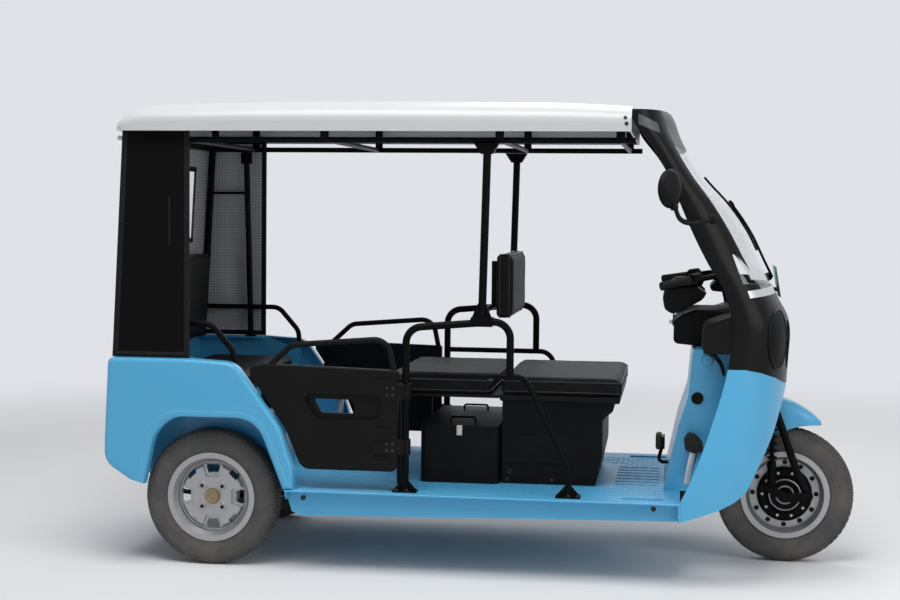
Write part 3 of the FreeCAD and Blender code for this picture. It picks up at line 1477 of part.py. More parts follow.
def roof_post(y):
    """The post from the hoop's top bar to the roof rail, with its socket, gusset and head bracket."""
    bar = hoop_bar_height(S.mid_post)
    top = S.roof_rail_height - S.roof_rail_radius - S.seam_gap
    radius = S.post_radius
    wall = S.foot_plate
    half = S.gusset_half_width
    x = S.mid_post
    post = straight_bar(Vector(x, y, bar), Vector(x + radius, y, top), radius)
    socket = block(Vector(x - half, y - radius - wall, bar - S.tube_radius),
                   Vector(x + half, y + radius + wall, bar + S.tube_radius + wall))
    web = [(x - half, bar + S.tube_radius), (x + half, bar + S.tube_radius), (x + radius, bar + S.gusset_height),
           (x - radius, bar + S.gusset_height)]
    gusset = side_prism(web, y - wall / 2, y + wall / 2)
    head = [(x - radius * 0.6, top - half), (x + radius * 2.4, top - half), (x + half * 1.5, top),
            (x - half * 0.9, top)]
    return [post, socket, gusset, side_prism(head, y - radius, y + radius)]


def rear_upright(height):
    """Where the rear upright stands inside the leaning rear curtain at one height."""
    low, high = rear_curtain_line()
    lean = (high[0] - low[0]) / (high[1] - low[1])
    return low[0] + S.side_curtain_wall + S.rear_upright_inset + (height - low[1]) * lean


def rear_frame(side):
    """The rear post with its foot and head plates, the rear upright, the armrest and the light stay."""
    y = side * (S.frame_half_width - S.tube_radius)
    shelf = S.belt_height
    top = S.roof_rail_height - S.roof_rail_radius - S.seam_gap * 4
    radius = S.tube_radius * 0.9
    foot = Vector(S.rear_post_foot, y, shelf)
    head = Vector(S.rear_post_top, y, top)
    half = S.foot_width / 2
    shapes = [straight_bar(foot, head, radius),
              straight_bar(foot, foot + Vector(0, 0, S.foot_plate), half),
              block(head - Vector(half, S.foot_plate / 2, half * 2), head + Vector(half, S.foot_plate / 2, 0)),
              straight_bar(Vector(rear_upright(shelf), y, shelf), Vector(rear_upright(top), y, top), radius)]
    arm = S.armrest_height
    drop = S.armrest_front - S.armrest_run
    shapes.append(bent_tube([Vector(rear_upright(arm), y, arm), Vector(drop, y, arm),
                             Vector(S.armrest_front, y, arm - S.armrest_run * 1.15),
                             Vector(S.armrest_front + S.foot_plate, y, S.armrest_foot)],
                            S.thin_tube_radius, S.hoop_bend))
    stay = top - (top - shelf) * 0.22
    shapes.append(straight_bar(Vector(rear_upright(stay), y, stay), Vector(S.rear_post_top, y, stay), S.foot_plate))
    new_feature("rear_frame_" + SIDE_NAMES[side], fused(shapes))


def side_curtains():
    """The two flat side curtains behind the rear seat, from belt to roof."""
    low = S.belt_height + S.seam_gap
    top = S.roof_edge + S.side_curtain_wall * 2.5
    wall = S.side_curtain_wall
    profile = [(S.side_curtain_rear, low), (S.side_curtain_front, low), (S.side_curtain_front, top),
               (S.side_curtain_rear + S.rear_curtain_lean, top)]
    walls = []
    for side in (RIGHT, LEFT):
        y = side * (S.side_curtain_half_width - wall / 2) - wall / 2
        walls.append(side_prism(profile, y, y + wall))
    new_feature("side_curtains", Part.makeCompound(walls))


def rear_curtain_line():
    """Foot and head of the rear curtain's outer face."""
    low = (S.side_curtain_rear, S.belt_height + S.seam_gap)
    return low, (low[0] + S.rear_curtain_lean, S.roof_edge - S.seam_gap)


def rear_curtain():
    """The curtain across the back with a wide window."""
    low, high = rear_curtain_line()
    wall = S.side_curtain_wall
    reach = S.side_curtain_half_width - wall - S.seam_gap
    profile = [low, (low[0] + wall, low[1]), (high[0] + wall, high[1]), high]
    new_feature("rear_curtain", side_prism(profile, -reach, reach).cut(rear_opening(0)))


def rear_opening(grow):
    """The outline of the rear window as a prism along X."""
    low, high = rear_curtain_line()
    base = low[1] + (high[1] - low[1]) * 0.5 - grow
    top = low[1] + (high[1] - low[1]) * 0.86 + grow
    half = S.side_curtain_half_width * 0.62 + grow
    beyond = high[0] + S.rear_curtain_lean + S.overrun
    corners = [(-half, base), (half, base), (half, top), (-half, top)]
    return front_prism(corners, low[0] - S.overrun, beyond, [S.overrun + grow] * len(corners))


def rear_window():
    """The clear sheet set in the rear curtain."""
    low, high = rear_curtain_line()
    inset = S.side_curtain_wall * 0.35
    far = S.side_curtain_wall - inset
    profile = [(low[0] + inset, low[1]), (low[0] + far, low[1]), (high[0] + far, high[1]), (high[0] + inset, high[1])]
    sheet = side_prism(profile, -S.side_curtain_half_width, S.side_curtain_half_width)
    return sheet.common(rear_opening(-S.seam_gap)).Solids[0]


# Seats and boxes

def rounded_block(low, high, radius):
    """A box with all its edges rounded."""
    solid = block(low, high)
    return solid.makeFillet(radius, solid.Edges)


def seat_cushions():
    """The rear seat, the middle bench and the driver's cushion."""
    top = S.seat_top
    low = S.driver_seat_top - S.driver_cushion_height
    gap = S.foot_plate
    rear = rounded_block(Vector(S.seat_rear, -S.seat_half_width, top - S.seat_cushion_height),
                         Vector(S.seat_front, S.seat_half_width, top), S.cushion_round)
    bench = rounded_block(Vector(S.bench_rear, -S.bench_half_width, low),
                          Vector(S.bench_split - gap, S.bench_half_width, S.driver_seat_top), S.cushion_round)
    driver = rounded_block(Vector(S.bench_split + gap, -S.driver_half_width, low),
                           Vector(S.driver_seat_front, S.driver_half_width, S.driver_seat_top), S.cushion_round)
    new_feature("seat_cushions", Part.makeCompound([rear, bench, driver]))


def backrests():
    """The rear seat back, raked with the curtain behind it, and the driver's back pad."""
    low, high = rear_curtain_line()
    corner = Vector(S.backrest_rear, 0, S.backrest_bottom)
    rear = rounded_block(corner - Vector(0, S.seat_half_width, 0),
                         Vector(S.backrest_rear + S.backrest_thickness, S.seat_half_width, S.backrest_top), S.cushion_round)
    rear.rotate(corner, Vector(0, 1, 0), math.degrees(math.atan2(high[0] - low[0], high[1] - low[1])))
    x = S.mid_post + S.post_radius + S.foot_plate
    half = S.driver_backrest_half_width
    driver = rounded_block(Vector(x, -half, S.driver_backrest_bottom),
                           Vector(x + S.driver_backrest_wall, half, S.driver_backrest_top), S.cushion_round)
    new_feature("backrests", Part.makeCompound([rear, driver]))


# Shares of the driver's seat box: along from its rear wall, up from the floor, and bends.
SEAT_BOX_SHARES = (
    (0.000, 0.000, 0.000),
    (0.845, 0.000, 0.020),
    (0.903, 0.370, 0.200),
    (0.903, 0.790, 0.120),
    (1.000, 0.880, 0.080),
    (1.000, 1.000, 0.000),
    (0.000, 1.000, 0.000),
)
# Grooves pressed in the box's sides: height share, and length share from the rear wall.
GROOVE_SHARES = ((0.780, 0.27), (0.580, 0.33), (0.445, 0.33), (0.240, 0.58))


def seat_box(inset, low, high):
    """The driver's seat box as a solid, drawn in by an inset."""
    half = S.base_half_width - inset
    corners = [Vector(x, -half, z) for x, z in spread(SEAT_BOX_SHARES, low, high)]
    face = rounded_face(corners, [row[2] * (high[1] - low[1]) for row in SEAT_BOX_SHARES])
    if inset:
        face = face.makeOffset2D(-inset)
    return face.extrude(Vector(0, half * 2, 0))


def driver_seat_base():
    """The moulded seat box with a hollowed front, its tray, the bench shelf and its two legs."""
    floor = S.floor_height + S.seam_gap
    tray = S.driver_seat_top - S.driver_cushion_height - S.seam_gap
    low = (S.base_rear, floor)
    high = (S.base_front, tray - S.seat_tray_height)
    box = seat_box(0, low, high).cut(seat_box(S.body_skin, low, high))
    groove = S.base_groove
    for side in (RIGHT, LEFT):
        for up, along in GROOVE_SHARES:
            z = low[1] + (high[1] - low[1]) * up
            near, far = sorted((side * (S.base_half_width - groove), side * (S.base_half_width + groove)))
            end = low[0] + (high[0] - low[0]) * along
            box = box.cut(block(Vector(low[0] - groove, near, z - groove), Vector(end, far, z + groove)))
    edge = S.cushion_round
    shelf = block(Vector(S.base_rear, -S.driver_half_width + edge, high[1]),
                  Vector(S.driver_seat_front - edge, S.driver_half_width - edge, tray))
    shelf = shelf.makeFillet(edge / 2, [line for line in shelf.Edges if line.BoundBox.ZMax < high[1] + S.seam_gap])
    bench = block(Vector(S.bench_rear + edge, -S.bench_half_width + edge, tray - S.foot_plate * 2),
                  Vector(S.base_rear, S.bench_half_width - edge, tray))
    legs = []
    for side in (RIGHT, LEFT):
        foot = Vector(S.bench_rear + S.seat_cushion_height, side * (S.bench_half_width - edge * 2), floor)
        legs.append(straight_bar(foot, Vector(foot.x, foot.y, tray - S.foot_plate), S.thin_tube_radius))
    new_feature("driver_seat_base", fused([box, shelf, bench] + legs))


def back_bar():
    """The bar between the side frames that carries the driver's back pad, with its two upright straps."""
    height = hoop_bar_height(S.mid_post) + S.gusset_half_width
    reach = S.frame_half_width - S.post_radius - S.seam_gap
    shapes = [straight_bar(Vector(S.mid_post, -reach, height), Vector(S.mid_post, reach, height), S.thin_tube_radius)]
    front = S.mid_post + S.post_radius + S.foot_plate - S.seam_gap
    half = S.gusset_half_width / 2
    for side in (RIGHT, LEFT):
        y = side * S.driver_backrest_half_width * 0.6
        shapes.append(block(Vector(S.mid_post - S.foot_plate, y - half, height),
                            Vector(front, y + half, S.driver_backrest_top - half * 2)))
    new_feature("back_bar", fused(shapes))


def upright_edges(solid):
    """The upright edges of a solid."""
    return [edge for edge in solid.Edges if edge.BoundBox.ZLength > max(edge.BoundBox.XLength, edge.BoundBox.YLength)]


def storage_box():
    """The open box under the middle bench, and its shallow lid with two handles."""
    wall = S.body_skin
    floor = S.floor_height + S.seam_gap
    half = S.box_half_width
    outer = block(Vector(S.box_rear, -half, floor), Vector(S.box_front, half, S.box_top))
    room = block(Vector(S.box_rear + wall, -half + wall, floor + wall),
                 Vector(S.box_front - wall, half - wall, S.box_top + S.overrun))
    outer = outer.makeFillet(S.box_round, upright_edges(outer))
    room = room.makeFillet(S.box_round - wall, upright_edges(room))
    new_feature("storage_box", outer.cut(room))
    low = S.box_top + S.seam_gap
    top = low + S.lid_height
    lid = block(Vector(S.box_rear, -half - wall, low), Vector(S.box_front - S.foot_plate / 2, half + wall, top))
    shapes = [lid.makeFillet(S.box_round, upright_edges(lid))]
    middle = (S.box_rear + S.box_front) / 2
    length = S.handle_half_length
    for side in (RIGHT, LEFT):
        y = side * half * 0.66
        ends = [Vector(middle - length, y, top), Vector(middle - length, y, top + S.handle_rise),
                Vector(middle + length, y, top + S.handle_rise), Vector(middle + length, y, top)]
        shapes.append(bent_tube(ends, S.lid_height * 0.3, S.handle_rise / 2))
    new_feature("storage_box_lid", fused(shapes))


def battery_block():
    """The battery pack under the rear seat."""
    item = DOC.addObject("Part::Box", "battery_block")
    item.Label = "battery_block"
    item.setExpression("Length", bound("battery_length"))
    item.setExpression("Width", bound("rail_half_gap * 2"))
    item.setExpression("Height", bound("battery_height"))
    place(item, "battery_rear", "-rail_half_gap", "kickup_height + rail_height + seam_gap")
    SUBPARTS.append(item)


# Doors

# Shares of a door panel: along from its rear tip, up from its foot, and bends as shares of its height.
DOOR_SHARES = (
    (-0.005, 0.960, 0.060),
    (0.115, 1.010, 0.150),
    (1.000, 0.975, 0.020),
    (1.000, 0.000, 0.070),
    (0.370, 0.000, 0.120),
    (0.262, 0.380, 0.600),
)
# Shares of the same panel for the slot that one sees through, and for the hand recess round it.
SLOT_SHARES = ((0.440, 0.685, 0.020), (0.700, 0.680, 0.040), (0.725, 0.545, 0.040), (0.495, 0.550, 0.060))
RECESS_SHARES = ((0.360, 0.740, 0.060), (0.900, 0.730, 0.060), (0.880, 0.500, 0.080), (0.470, 0.490, 0.100))


def door_prism(shares, low_y, high_y):
    """A prism across a door panel from rows of its shares."""
    low = (S.door_rear, S.door_bottom)
    high = (S.door_front, S.door_top)
    bends = [row[2] * (high[1] - low[1]) for row in shares]
    return side_prism(spread(shares, low, high), low_y, high_y, bends)


def door_panel(side):
    """The moulded panel with its rounded face, hand recess, slot and the ribs beside the hinges."""
    out = side * S.door_outer
    low_y, high_y = sorted((out, side * (S.door_outer - S.door_wall)))
    panel = soften(door_prism(DOOR_SHARES, low_y, high_y), out, S.door_round)
    floor, mouth = sorted((side * (S.door_outer - S.door_wall * 0.45), side * (S.door_outer + S.overrun)))
    panel = panel.cut(door_prism(RECESS_SHARES, floor, mouth))
    panel = panel.cut(door_prism(SLOT_SHARES, low_y - S.overrun, high_y + S.overrun))
    height = S.door_top - S.door_bottom
    depth = S.sleeve_wall / 2
    for share in (0.15, 0.29, 0.43, 0.90):
        z = S.door_bottom + height * share
        near, far = sorted((side * (S.door_outer - depth), side * (S.door_outer + S.overrun)))
        panel = panel.cut(block(Vector(S.door_front - S.hinge_length * 1.5, near, z - depth),
                                Vector(S.door_front - S.hinge_length / 2, far, z + depth)))
    return panel


def door(side):
    """A moulded half door, its top tube and its two hinge sleeves round the hoop's leg."""
    low_y, high_y = sorted((side * S.door_outer, side * (S.door_outer - S.door_wall)))
    length = S.door_front - S.door_rear
    y = side * (S.door_outer - S.door_wall / 2)
    foot = S.door_top - S.door_wall
    top = S.door_top + S.door_tube_rise
    tube = bent_tube([Vector(S.door_rear + length * 0.1, y, foot), Vector(S.door_rear + length * 0.3, y, top - S.door_wall),
                      Vector(S.door_front - S.tube_radius * 3, y, top), Vector(S.door_front - S.tube_radius, y, foot)],
                     S.thin_tube_radius, S.hoop_bend)
    shapes = [door_panel(side), tube]
    half = S.hinge_length / 2
    leg = Vector(S.hoop_rear, side * S.frame_half_width, 0)
    bores = []
    for z in (S.hinge_low, S.hinge_high):
        shapes.append(Part.makeCylinder(S.tube_radius + S.sleeve_wall, half * 2, leg + Vector(0, 0, z - half)))
        shapes.append(block(Vector(S.door_front - S.foot_plate, low_y, z - half), Vector(S.hoop_rear, high_y, z + half)))
        start = leg + Vector(0, 0, z - half - S.overrun / 2)
        bores.append(Part.makeCylinder(S.tube_radius + S.seam_gap, half * 2 + S.overrun, start))
    new_feature("door_" + SIDE_NAMES[side], fused(shapes).cut(bores))


# Dash, pedal, mirrors and lamps

def dash_panel():
    """The dash behind the cowl: a middle console that reaches towards the rider, and a wing on each side."""
    low = S.dash_bottom
    top = S.dash_top
    rise = top - low
    front = S.dash_front
    run = S.dash_wing_rear - S.dash_rear
    bend = S.dash_round * 2
    console = [(S.dash_rear, low + S.dash_round), (S.dash_rear, top - rise * 0.3), (S.dash_rear + run * 0.3, top - rise * 0.14),
               (S.dash_rear + run * 0.75, top), (front, top), (front, low), (S.dash_wing_rear, low)]
    middle = side_prism(console, -S.dash_half_width, S.dash_half_width, [bend, bend, bend * 2, bend * 2, 0, 0, bend])
    for side in (RIGHT, LEFT):
        middle = soften(middle, side * S.dash_half_width, S.dash_round)
    wings = side_prism([(S.dash_wing_rear, low), (S.dash_wing_rear, top - rise * 0.28), (front, top), (front, low)],
                       -S.shell_half_width, S.shell_half_width, [bend, bend * 2, 0, 0])
    stem = straight_bar(steering_point(S.crown_height), steering_point(S.stem_top_height), S.head_tube_radius * 1.4)
    room = front_block(S.cowl_wall + S.seam_gap, True)
    new_feature("dash_panel", middle.fuse(wings.common(room)).cut(stem))


def brake_pedal():
    """The pedal pad on its bent lever, seated on the bulkhead."""
    foot, knee = shield_line(0)[:2]
    share = 0.35
    radius = S.axle_radius * 0.7
    slope = (knee[0] - foot[0]) / (knee[1] - foot[1])
    base = Vector(foot[0] + (knee[0] - foot[0]) * share - S.seam_gap - radius * slope, -S.pedal_side,
                  foot[1] + (knee[1] - foot[1]) * share)
    elbow = base - Vector(S.pedal_half_width, 0, 0)
    pad_centre = base + Vector(-S.pedal_half_width / 2, 0, S.pedal_half_width * 2)
    lever = bent_tube([base, elbow, pad_centre], radius, S.pedal_half_width / 2)
    half = Vector(S.foot_plate, S.pedal_half_width, S.pedal_half_width * 0.6)
    new_feature("brake_pedal", fused([lever, block(pad_centre - half, pad_centre + half)]))


def mirrors():
    """An oval mirror on a bent arm on each pillar, its foot cut to the pillar."""
    both = []
    pillar = front_block(-S.seam_gap, False)
    rear = S.wheelbase - S.shell_rear_behind_axle
    reach = S.mirror_reach
    for side in (RIGHT, LEFT):
        base = Vector(rear + S.shell_length * 0.43, side * S.shell_half_width * 0.88,
                      S.shell_bottom + S.shell_height * 0.731)
        elbow = base + Vector(-reach / 2, side * reach * 0.8, 0)
        tip = base + Vector(-reach, side * reach, reach / 2)
        arm = bent_tube([base, elbow, tip], S.mirror_arm_radius, reach / 4).cut(pillar)
        matrix = FreeCAD.Matrix()
        matrix.scale(S.mirror_half_depth, S.mirror_half_width, S.mirror_half_height)
        head = Part.makeSphere(1).transformGeometry(matrix)
        head.translate(tip + Vector(0, 0, S.mirror_half_height * 0.9))
        both.append(fused([arm, head]))
    new_feature("mirrors", Part.makeCompound(both))


def tail_lamp(side, grow):
    """The block of one tail lamp, grown all round."""
    margin = Vector(grow, grow, grow)
    centre = Vector(-S.rear_overhang, side * S.tail_lamp_half_gap, S.belt_height - S.tail_lamp_drop)
    size = Vector(S.tail_lamp_depth, S.tail_lamp_width, S.tail_lamp_width * 2) / 2
    ahead = Vector(S.tail_lamp_depth * 0.55, 0, 0)
    return block(centre + ahead - size - margin, centre + ahead + size + margin)


def tail_lamps():
    """An upright lamp let into the tail panel near each rear corner."""
    new_feature("tail_lamps", Part.makeCompound([tail_lamp(side, 0) for side in (RIGHT, LEFT)]))


# Build, check and write

def check():
    """Stop if any object failed or any sub-part is empty or broken."""
    DOC.recompute()
    for item in DOC.Objects:
        if "Invalid" in item.State or "Error" in item.State:
            raise RuntimeError("%s failed: %s" % (item.Label, item.State))
    for item in SUBPARTS:
        if item.Shape.isNull() or not item.Shape.isValid():
            raise RuntimeError("%s has no valid shape" % item.Label)


def write():
    """Write each sub-part to its own file."""
    os.makedirs("parts", exist_ok=True)
    for item in SUBPARTS:
        item.Shape.exportStep("parts/%s.step" % item.Label)


fill_sheet()
front_wheel()
for turn_side in (RIGHT, LEFT):
    rear_wheel(turn_side)
    side_frame(turn_side)
    rear_frame(turn_side)
    door(turn_side)
front_fork()
front_suspension()
handlebar()
front_fender()
chassis_frame()
rear_axle()
leaf_springs()
floor_pan()
quarter_panels()
tail_panel()
seat_tub()
inner_shield()
front_end()
roof_shell()
roof_frame()
side_curtains()
rear_curtain()
seat_cushions()
backrests()
driver_seat_base()
back_bar()
storage_box()
battery_block()
dash_panel()
brake_pedal()
mirrors()
tail_lamps()
check()
write()
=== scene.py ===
"""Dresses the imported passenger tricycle: finishes, soft seats, tread, trim and fittings, in metres."""

import logging
import math
from dataclasses import dataclass
from enum import Enum

import bmesh
import bpy
from mathutils import Matrix, Vector
from mathutils.bvhtree import BVHTree


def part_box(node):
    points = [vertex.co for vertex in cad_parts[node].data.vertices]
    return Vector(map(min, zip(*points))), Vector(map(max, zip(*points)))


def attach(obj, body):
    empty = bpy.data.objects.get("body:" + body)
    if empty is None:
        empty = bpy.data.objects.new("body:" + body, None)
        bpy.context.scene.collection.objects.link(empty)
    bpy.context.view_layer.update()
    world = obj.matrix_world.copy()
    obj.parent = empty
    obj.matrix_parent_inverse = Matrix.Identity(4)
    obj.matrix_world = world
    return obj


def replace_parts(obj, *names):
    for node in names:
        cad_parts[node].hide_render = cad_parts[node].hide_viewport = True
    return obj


LOG = logging.getLogger("tricycle")

Point = tuple[float, float, float]
Pair = tuple[float, float]
Colour = Point
Hit = tuple[Vector, Vector]

RIGHT, LEFT = -1, 1
SIDES = (RIGHT, LEFT)
SIDE_NAMES = {RIGHT: "right", LEFT: "left"}
AXLE_X = -1.0355
FRONT_AXLE_X = 1.1715
ORIGIN: Point = (0.0, 0.0, 0.0)
UP: Point = (0.0, 0.0, 1.0)
SUNK = -0.002
COAT_ROUGHNESS = 0.12
REFRACTION = 1.45
DOT_PITCH = 0.013


def ahead(x: float) -> float:
    """Row-frame X of a place measured forward of the rear axle, in metres."""
    return AXLE_X + x


def turns(count: int, start: float = 0.0) -> list[float]:
    """Even angles round a circle, the first one at this share of a step."""
    return [math.tau * (k + start) / count for k in range(count)]


def round_point(centre: Point, radius: float, turn: float) -> Point:
    """A place at an angle on a circle in the vehicle's side plane."""
    return centre[0] + radius * math.cos(turn), centre[1], centre[2] + radius * math.sin(turn)


# Shader node groups


class Wires:
    """Builds a node tree: adds nodes, sets their sockets and links them."""

    def __init__(self, tree: bpy.types.NodeTree) -> None:
        """Keep the tree that the nodes go into."""
        self.tree = tree

    def node(self, kind: str, **values: object) -> bpy.types.Node:
        """Add a node and set its properties or sockets.

        Args:
            kind: The node's bl_idname.
            values: Properties by attribute name, or sockets by name with underscores for spaces.

        Returns:
            The new node.
        """
        made = self.tree.nodes.new(kind)
        for name, value in values.items():
            if name in made.bl_rna.properties:
                setattr(made, name, value)
            else:
                made.inputs[name.replace("_", " ")].default_value = value
        return made

    def link(self, source: bpy.types.NodeSocket, target: bpy.types.NodeSocket) -> None:
        """Join an output to an input."""
        self.tree.links.new(source, target)

    def fill(self, socket: bpy.types.NodeSocket, value: object) -> None:
        """Give an input a number, a colour or another node's output.

        Args:
            socket: The input.
            value: What it gets.
        """
        if isinstance(value, bpy.types.NodeSocket):
            self.link(value, socket)
        else:
            socket.default_value = (*value[:3], 1.0) if isinstance(value, tuple) else value

    def math(self, kind: str, first: object, second: object = 0.0) -> bpy.types.NodeSocket:
        """The result of a Math node on two sockets or numbers.

        Args:
            kind: The node's operation.
            first: Its first number or output.
            second: Its second one.

        Returns:
            The result's output.
        """
        made = self.node("ShaderNodeMath", operation=kind)
        self.fill(made.inputs[0], first)
        self.fill(made.inputs[1], second)
        return made.outputs[0]

    def mix(self, share: object, first: object, second: object) -> bpy.types.NodeSocket:
        """Two colours mixed by the share of the second.

        Args:
            share: The share of the second colour.
            first: The first colour.
            second: The second colour.

        Returns:
            The mixed colour.
        """
        made = self.node("ShaderNodeMix", data_type="RGBA")
        for row, value in ((0, share), (6, first), (7, second)):
            self.fill(made.inputs[row], value)
        return made.outputs[2]

    def ramp(self, value: bpy.types.NodeSocket, low: float, high: float) -> bpy.types.NodeSocket:
        """Map a value from low..high to 0..1 with soft ends.

        Args:
            value: The output that is mapped.
            low: What gives 0.
            high: What gives 1.

        Returns:
            The mapped output.
        """
        made = self.node("ShaderNodeMapRange", interpolation_type="SMOOTHSTEP", From_Min=low, From_Max=high)
        self.link(value, made.inputs["Value"])
        return made.outputs["Result"]

    def place(self) -> bpy.types.NodeSocket:
        """The object coordinates."""
        return self.node("ShaderNodeTexCoord").outputs["Object"]

    def axes(self) -> bpy.types.NodeOutputs:
        """The object coordinates' X, Y and Z.

        Returns:
            The three outputs by name.
        """
        split = self.node("ShaderNodeSeparateXYZ")
        self.link(self.place(), split.inputs[0])
        return split.outputs

    def shown(self) -> bpy.types.NodeSocket:
        """One for a camera, transmission or glossy ray, and zero for any other.

        Returns:
            The output.
        """
        rays = self.node("ShaderNodeLightPath").outputs
        seen = self.math("MAXIMUM", rays["Is Camera Ray"], rays["Is Transmission Ray"])
        return self.math("MAXIMUM", seen, rays["Is Glossy Ray"])


@dataclass(frozen=True)
class GroupSocket:
    """One input or output of a shader group."""

    name: str
    kind: str = "NodeSocketFloat"
    default: object = None


class ShaderGroup:
    """A shader node group that is built once and used by several finishes."""

    label = "group"
    sockets_in: tuple[GroupSocket, ...] = ()
    sockets_out: tuple[GroupSocket, ...] = ()

    @classmethod
    def tree(cls) -> bpy.types.NodeTree:
        """The group's tree, made on first use.

        Returns:
            The tree.
        """
        found = bpy.data.node_groups.get(cls.label)
        if found:
            return found
        made = bpy.data.node_groups.new(cls.label, "ShaderNodeTree")
        for in_out, sockets in (("INPUT", cls.sockets_in), ("OUTPUT", cls.sockets_out)):
            for socket in sockets:
                item = made.interface.new_socket(name=socket.name, in_out=in_out, socket_type=socket.kind)
                if socket.default is not None:
                    item.default_value = socket.default
        wires = Wires(made)
        cls.wire(wires, wires.node("NodeGroupInput").outputs, wires.node("NodeGroupOutput").inputs)
        return made

    @classmethod
    def wire(cls, wires: Wires, start: bpy.types.NodeOutputs, end: bpy.types.NodeInputs) -> None:
        """Lay the nodes between the group's inputs and outputs."""
        raise NotImplementedError

    @classmethod
    def use(cls, wires: Wires, **values: object) -> bpy.types.Node:
        """Put the group into a material with its own values.

        Args:
            wires: The material's nodes.
            values: Inputs by name, with underscores for spaces.

        Returns:
            The group's node.
        """
        node = wires.node("ShaderNodeGroup")
        node.node_tree = cls.tree()
        for name, value in values.items():
            wires.fill(node.inputs[name.replace("_", " ")], value)
        return node


class GrainGroup(ShaderGroup):
    """Moulded or leather-like grain."""

    label = "moulded_grain"
    sockets_in = (GroupSocket("Cell Size", default=0.002), GroupSocket("Cracks", default=0.5))
    sockets_out = (GroupSocket("Height"),)

    @classmethod
    def wire(cls, wires: Wires, start: bpy.types.NodeOutputs, end: bpy.types.NodeInputs) -> None:
        """Mix soft noise with cell edges.

        Args:
            wires: The group's own nodes.
            start: What the group's inputs give.
            end: What the group puts out.
        """
        scale = wires.math("DIVIDE", 1.0, start["Cell Size"])
        cells = wires.node("ShaderNodeTexVoronoi", feature="DISTANCE_TO_EDGE")
        noise = wires.node("ShaderNodeTexNoise", Detail=3.0)
        for texture in (cells, noise):
            wires.link(wires.place(), texture.inputs["Vector"])
            wires.link(scale, texture.inputs["Scale"])
        cracks = wires.math("MULTIPLY", wires.ramp(cells.outputs["Distance"], 0.0, 0.25), start["Cracks"])
        wires.link(wires.math("ADD", cracks, noise.outputs[0]), end["Height"])


class DustGroup(ShaderGroup):
    """Road dust that gathers low down and in patches, with small wear marks."""

    label = "road_dust"
    sockets_in = (
        GroupSocket("Colour", "NodeSocketColor", (0.5, 0.5, 0.5, 1.0)),
        GroupSocket("Dust", "NodeSocketColor", (0.33, 0.29, 0.25, 1.0)),
        GroupSocket("Amount", default=0.2), GroupSocket("Top", default=0.6),
        GroupSocket("Roughness", default=0.4), GroupSocket("Variation", default=0.06),
    )
    sockets_out = (GroupSocket("Colour", "NodeSocketColor"), GroupSocket("Roughness"))

    @classmethod
    def wire(cls, wires: Wires, start: bpy.types.NodeOutputs, end: bpy.types.NodeInputs) -> None:
        """Weigh height above the ground with noise at two sizes.

        Args:
            wires: The group's own nodes.
            start: What the group's inputs give.
            end: What the group puts out.
        """
        low = wires.node("ShaderNodeClamp")
        height = wires.math("DIVIDE", wires.axes()["Z"], start["Top"])
        wires.link(wires.math("SUBTRACT", 1.0, height), low.inputs[0])
        broad = wires.node("ShaderNodeTexNoise", Scale=7.0, Detail=5.0, Roughness=0.6)
        fine = wires.node("ShaderNodeTexNoise", Scale=90.0, Detail=3.0, Roughness=0.7)
        for texture in (broad, fine):
            wires.link(wires.place(), texture.inputs["Vector"])
        patches = wires.math("MULTIPLY", wires.ramp(broad.outputs[0], 0.35, 0.7), 0.7)
        specks = wires.math("MULTIPLY", wires.ramp(fine.outputs[0], 0.5, 0.75), 0.3)
        base = wires.math("ADD", wires.math("MULTIPLY", low.outputs[0], 0.8), 0.2)
        cover = wires.math("MULTIPLY", wires.math("ADD", patches, specks), base)
        share = wires.math("MULTIPLY", cover, start["Amount"])
        swing = wires.math("MULTIPLY", wires.math("SUBTRACT", broad.outputs[0], 0.5), start["Variation"])
        shade = wires.node("ShaderNodeHueSaturation")
        wires.link(start["Colour"], shade.inputs["Color"])
        wires.link(wires.math("ADD", 1.0, swing), shade.inputs["Value"])
        wires.link(wires.mix(share, shade.outputs[0], start["Dust"]), end["Colour"])
        rough = wires.math("ADD", start["Roughness"], wires.math("MULTIPLY", share, 0.5))
        wires.link(wires.math("ADD", rough, wires.math("MULTIPLY", swing, 0.6)), end["Roughness"])


class WeaveGroup(ShaderGroup):
    """Woven cloth threads."""

    label = "cloth_weave"
    sockets_in = (GroupSocket("Thread", default=0.0016),)
    sockets_out = (GroupSocket("Height"),)

    @classmethod
    def wire(cls, wires: Wires, start: bpy.types.NodeOutputs, end: bpy.types.NodeInputs) -> None:
        """Cross two thread waves, along X or Y and along Z.

        Args:
            wires: The group's own nodes.
            start: What the group's inputs give.
            end: What the group puts out.
        """
        axes = wires.axes()
        turn = wires.math("DIVIDE", math.tau, start["Thread"])
        across = wires.math("SINE", wires.math("MULTIPLY", wires.math("ADD", axes["X"], axes["Y"]), turn))
        up = wires.math("SINE", wires.math("MULTIPLY", axes["Z"], turn))
        wires.link(wires.math("MULTIPLY", across, up), end["Height"])


class DotGroup(ShaderGroup):
    """Small round dots in square rows on an upright sheet."""

    label = "dotted_backing"
    sockets_in = (GroupSocket("Pitch", default=0.012),)
    sockets_out = (GroupSocket("Mask"),)

    @classmethod
    def wire(cls, wires: Wires, start: bpy.types.NodeOutputs, end: bpy.types.NodeInputs) -> None:
        """Multiply two waves whose common peaks are the dots.

        Args:
            wires: The group's own nodes.
            start: What the group's inputs give.
            end: What the group puts out.
        """
        axes = wires.axes()
        turn = wires.math("DIVIDE", math.tau, start["Pitch"])
        first = wires.math("COSINE", wires.math("MULTIPLY", wires.math("ADD", axes["X"], axes["Y"]), turn))
        second = wires.math("COSINE", wires.math("MULTIPLY", axes["Z"], turn))
        peak = wires.math("MULTIPLY", wires.math("ADD", first, 1.0), wires.math("ADD", second, 1.0))
        wires.link(wires.ramp(wires.math("DIVIDE", peak, 4.0), 0.45, 0.6), end["Mask"])


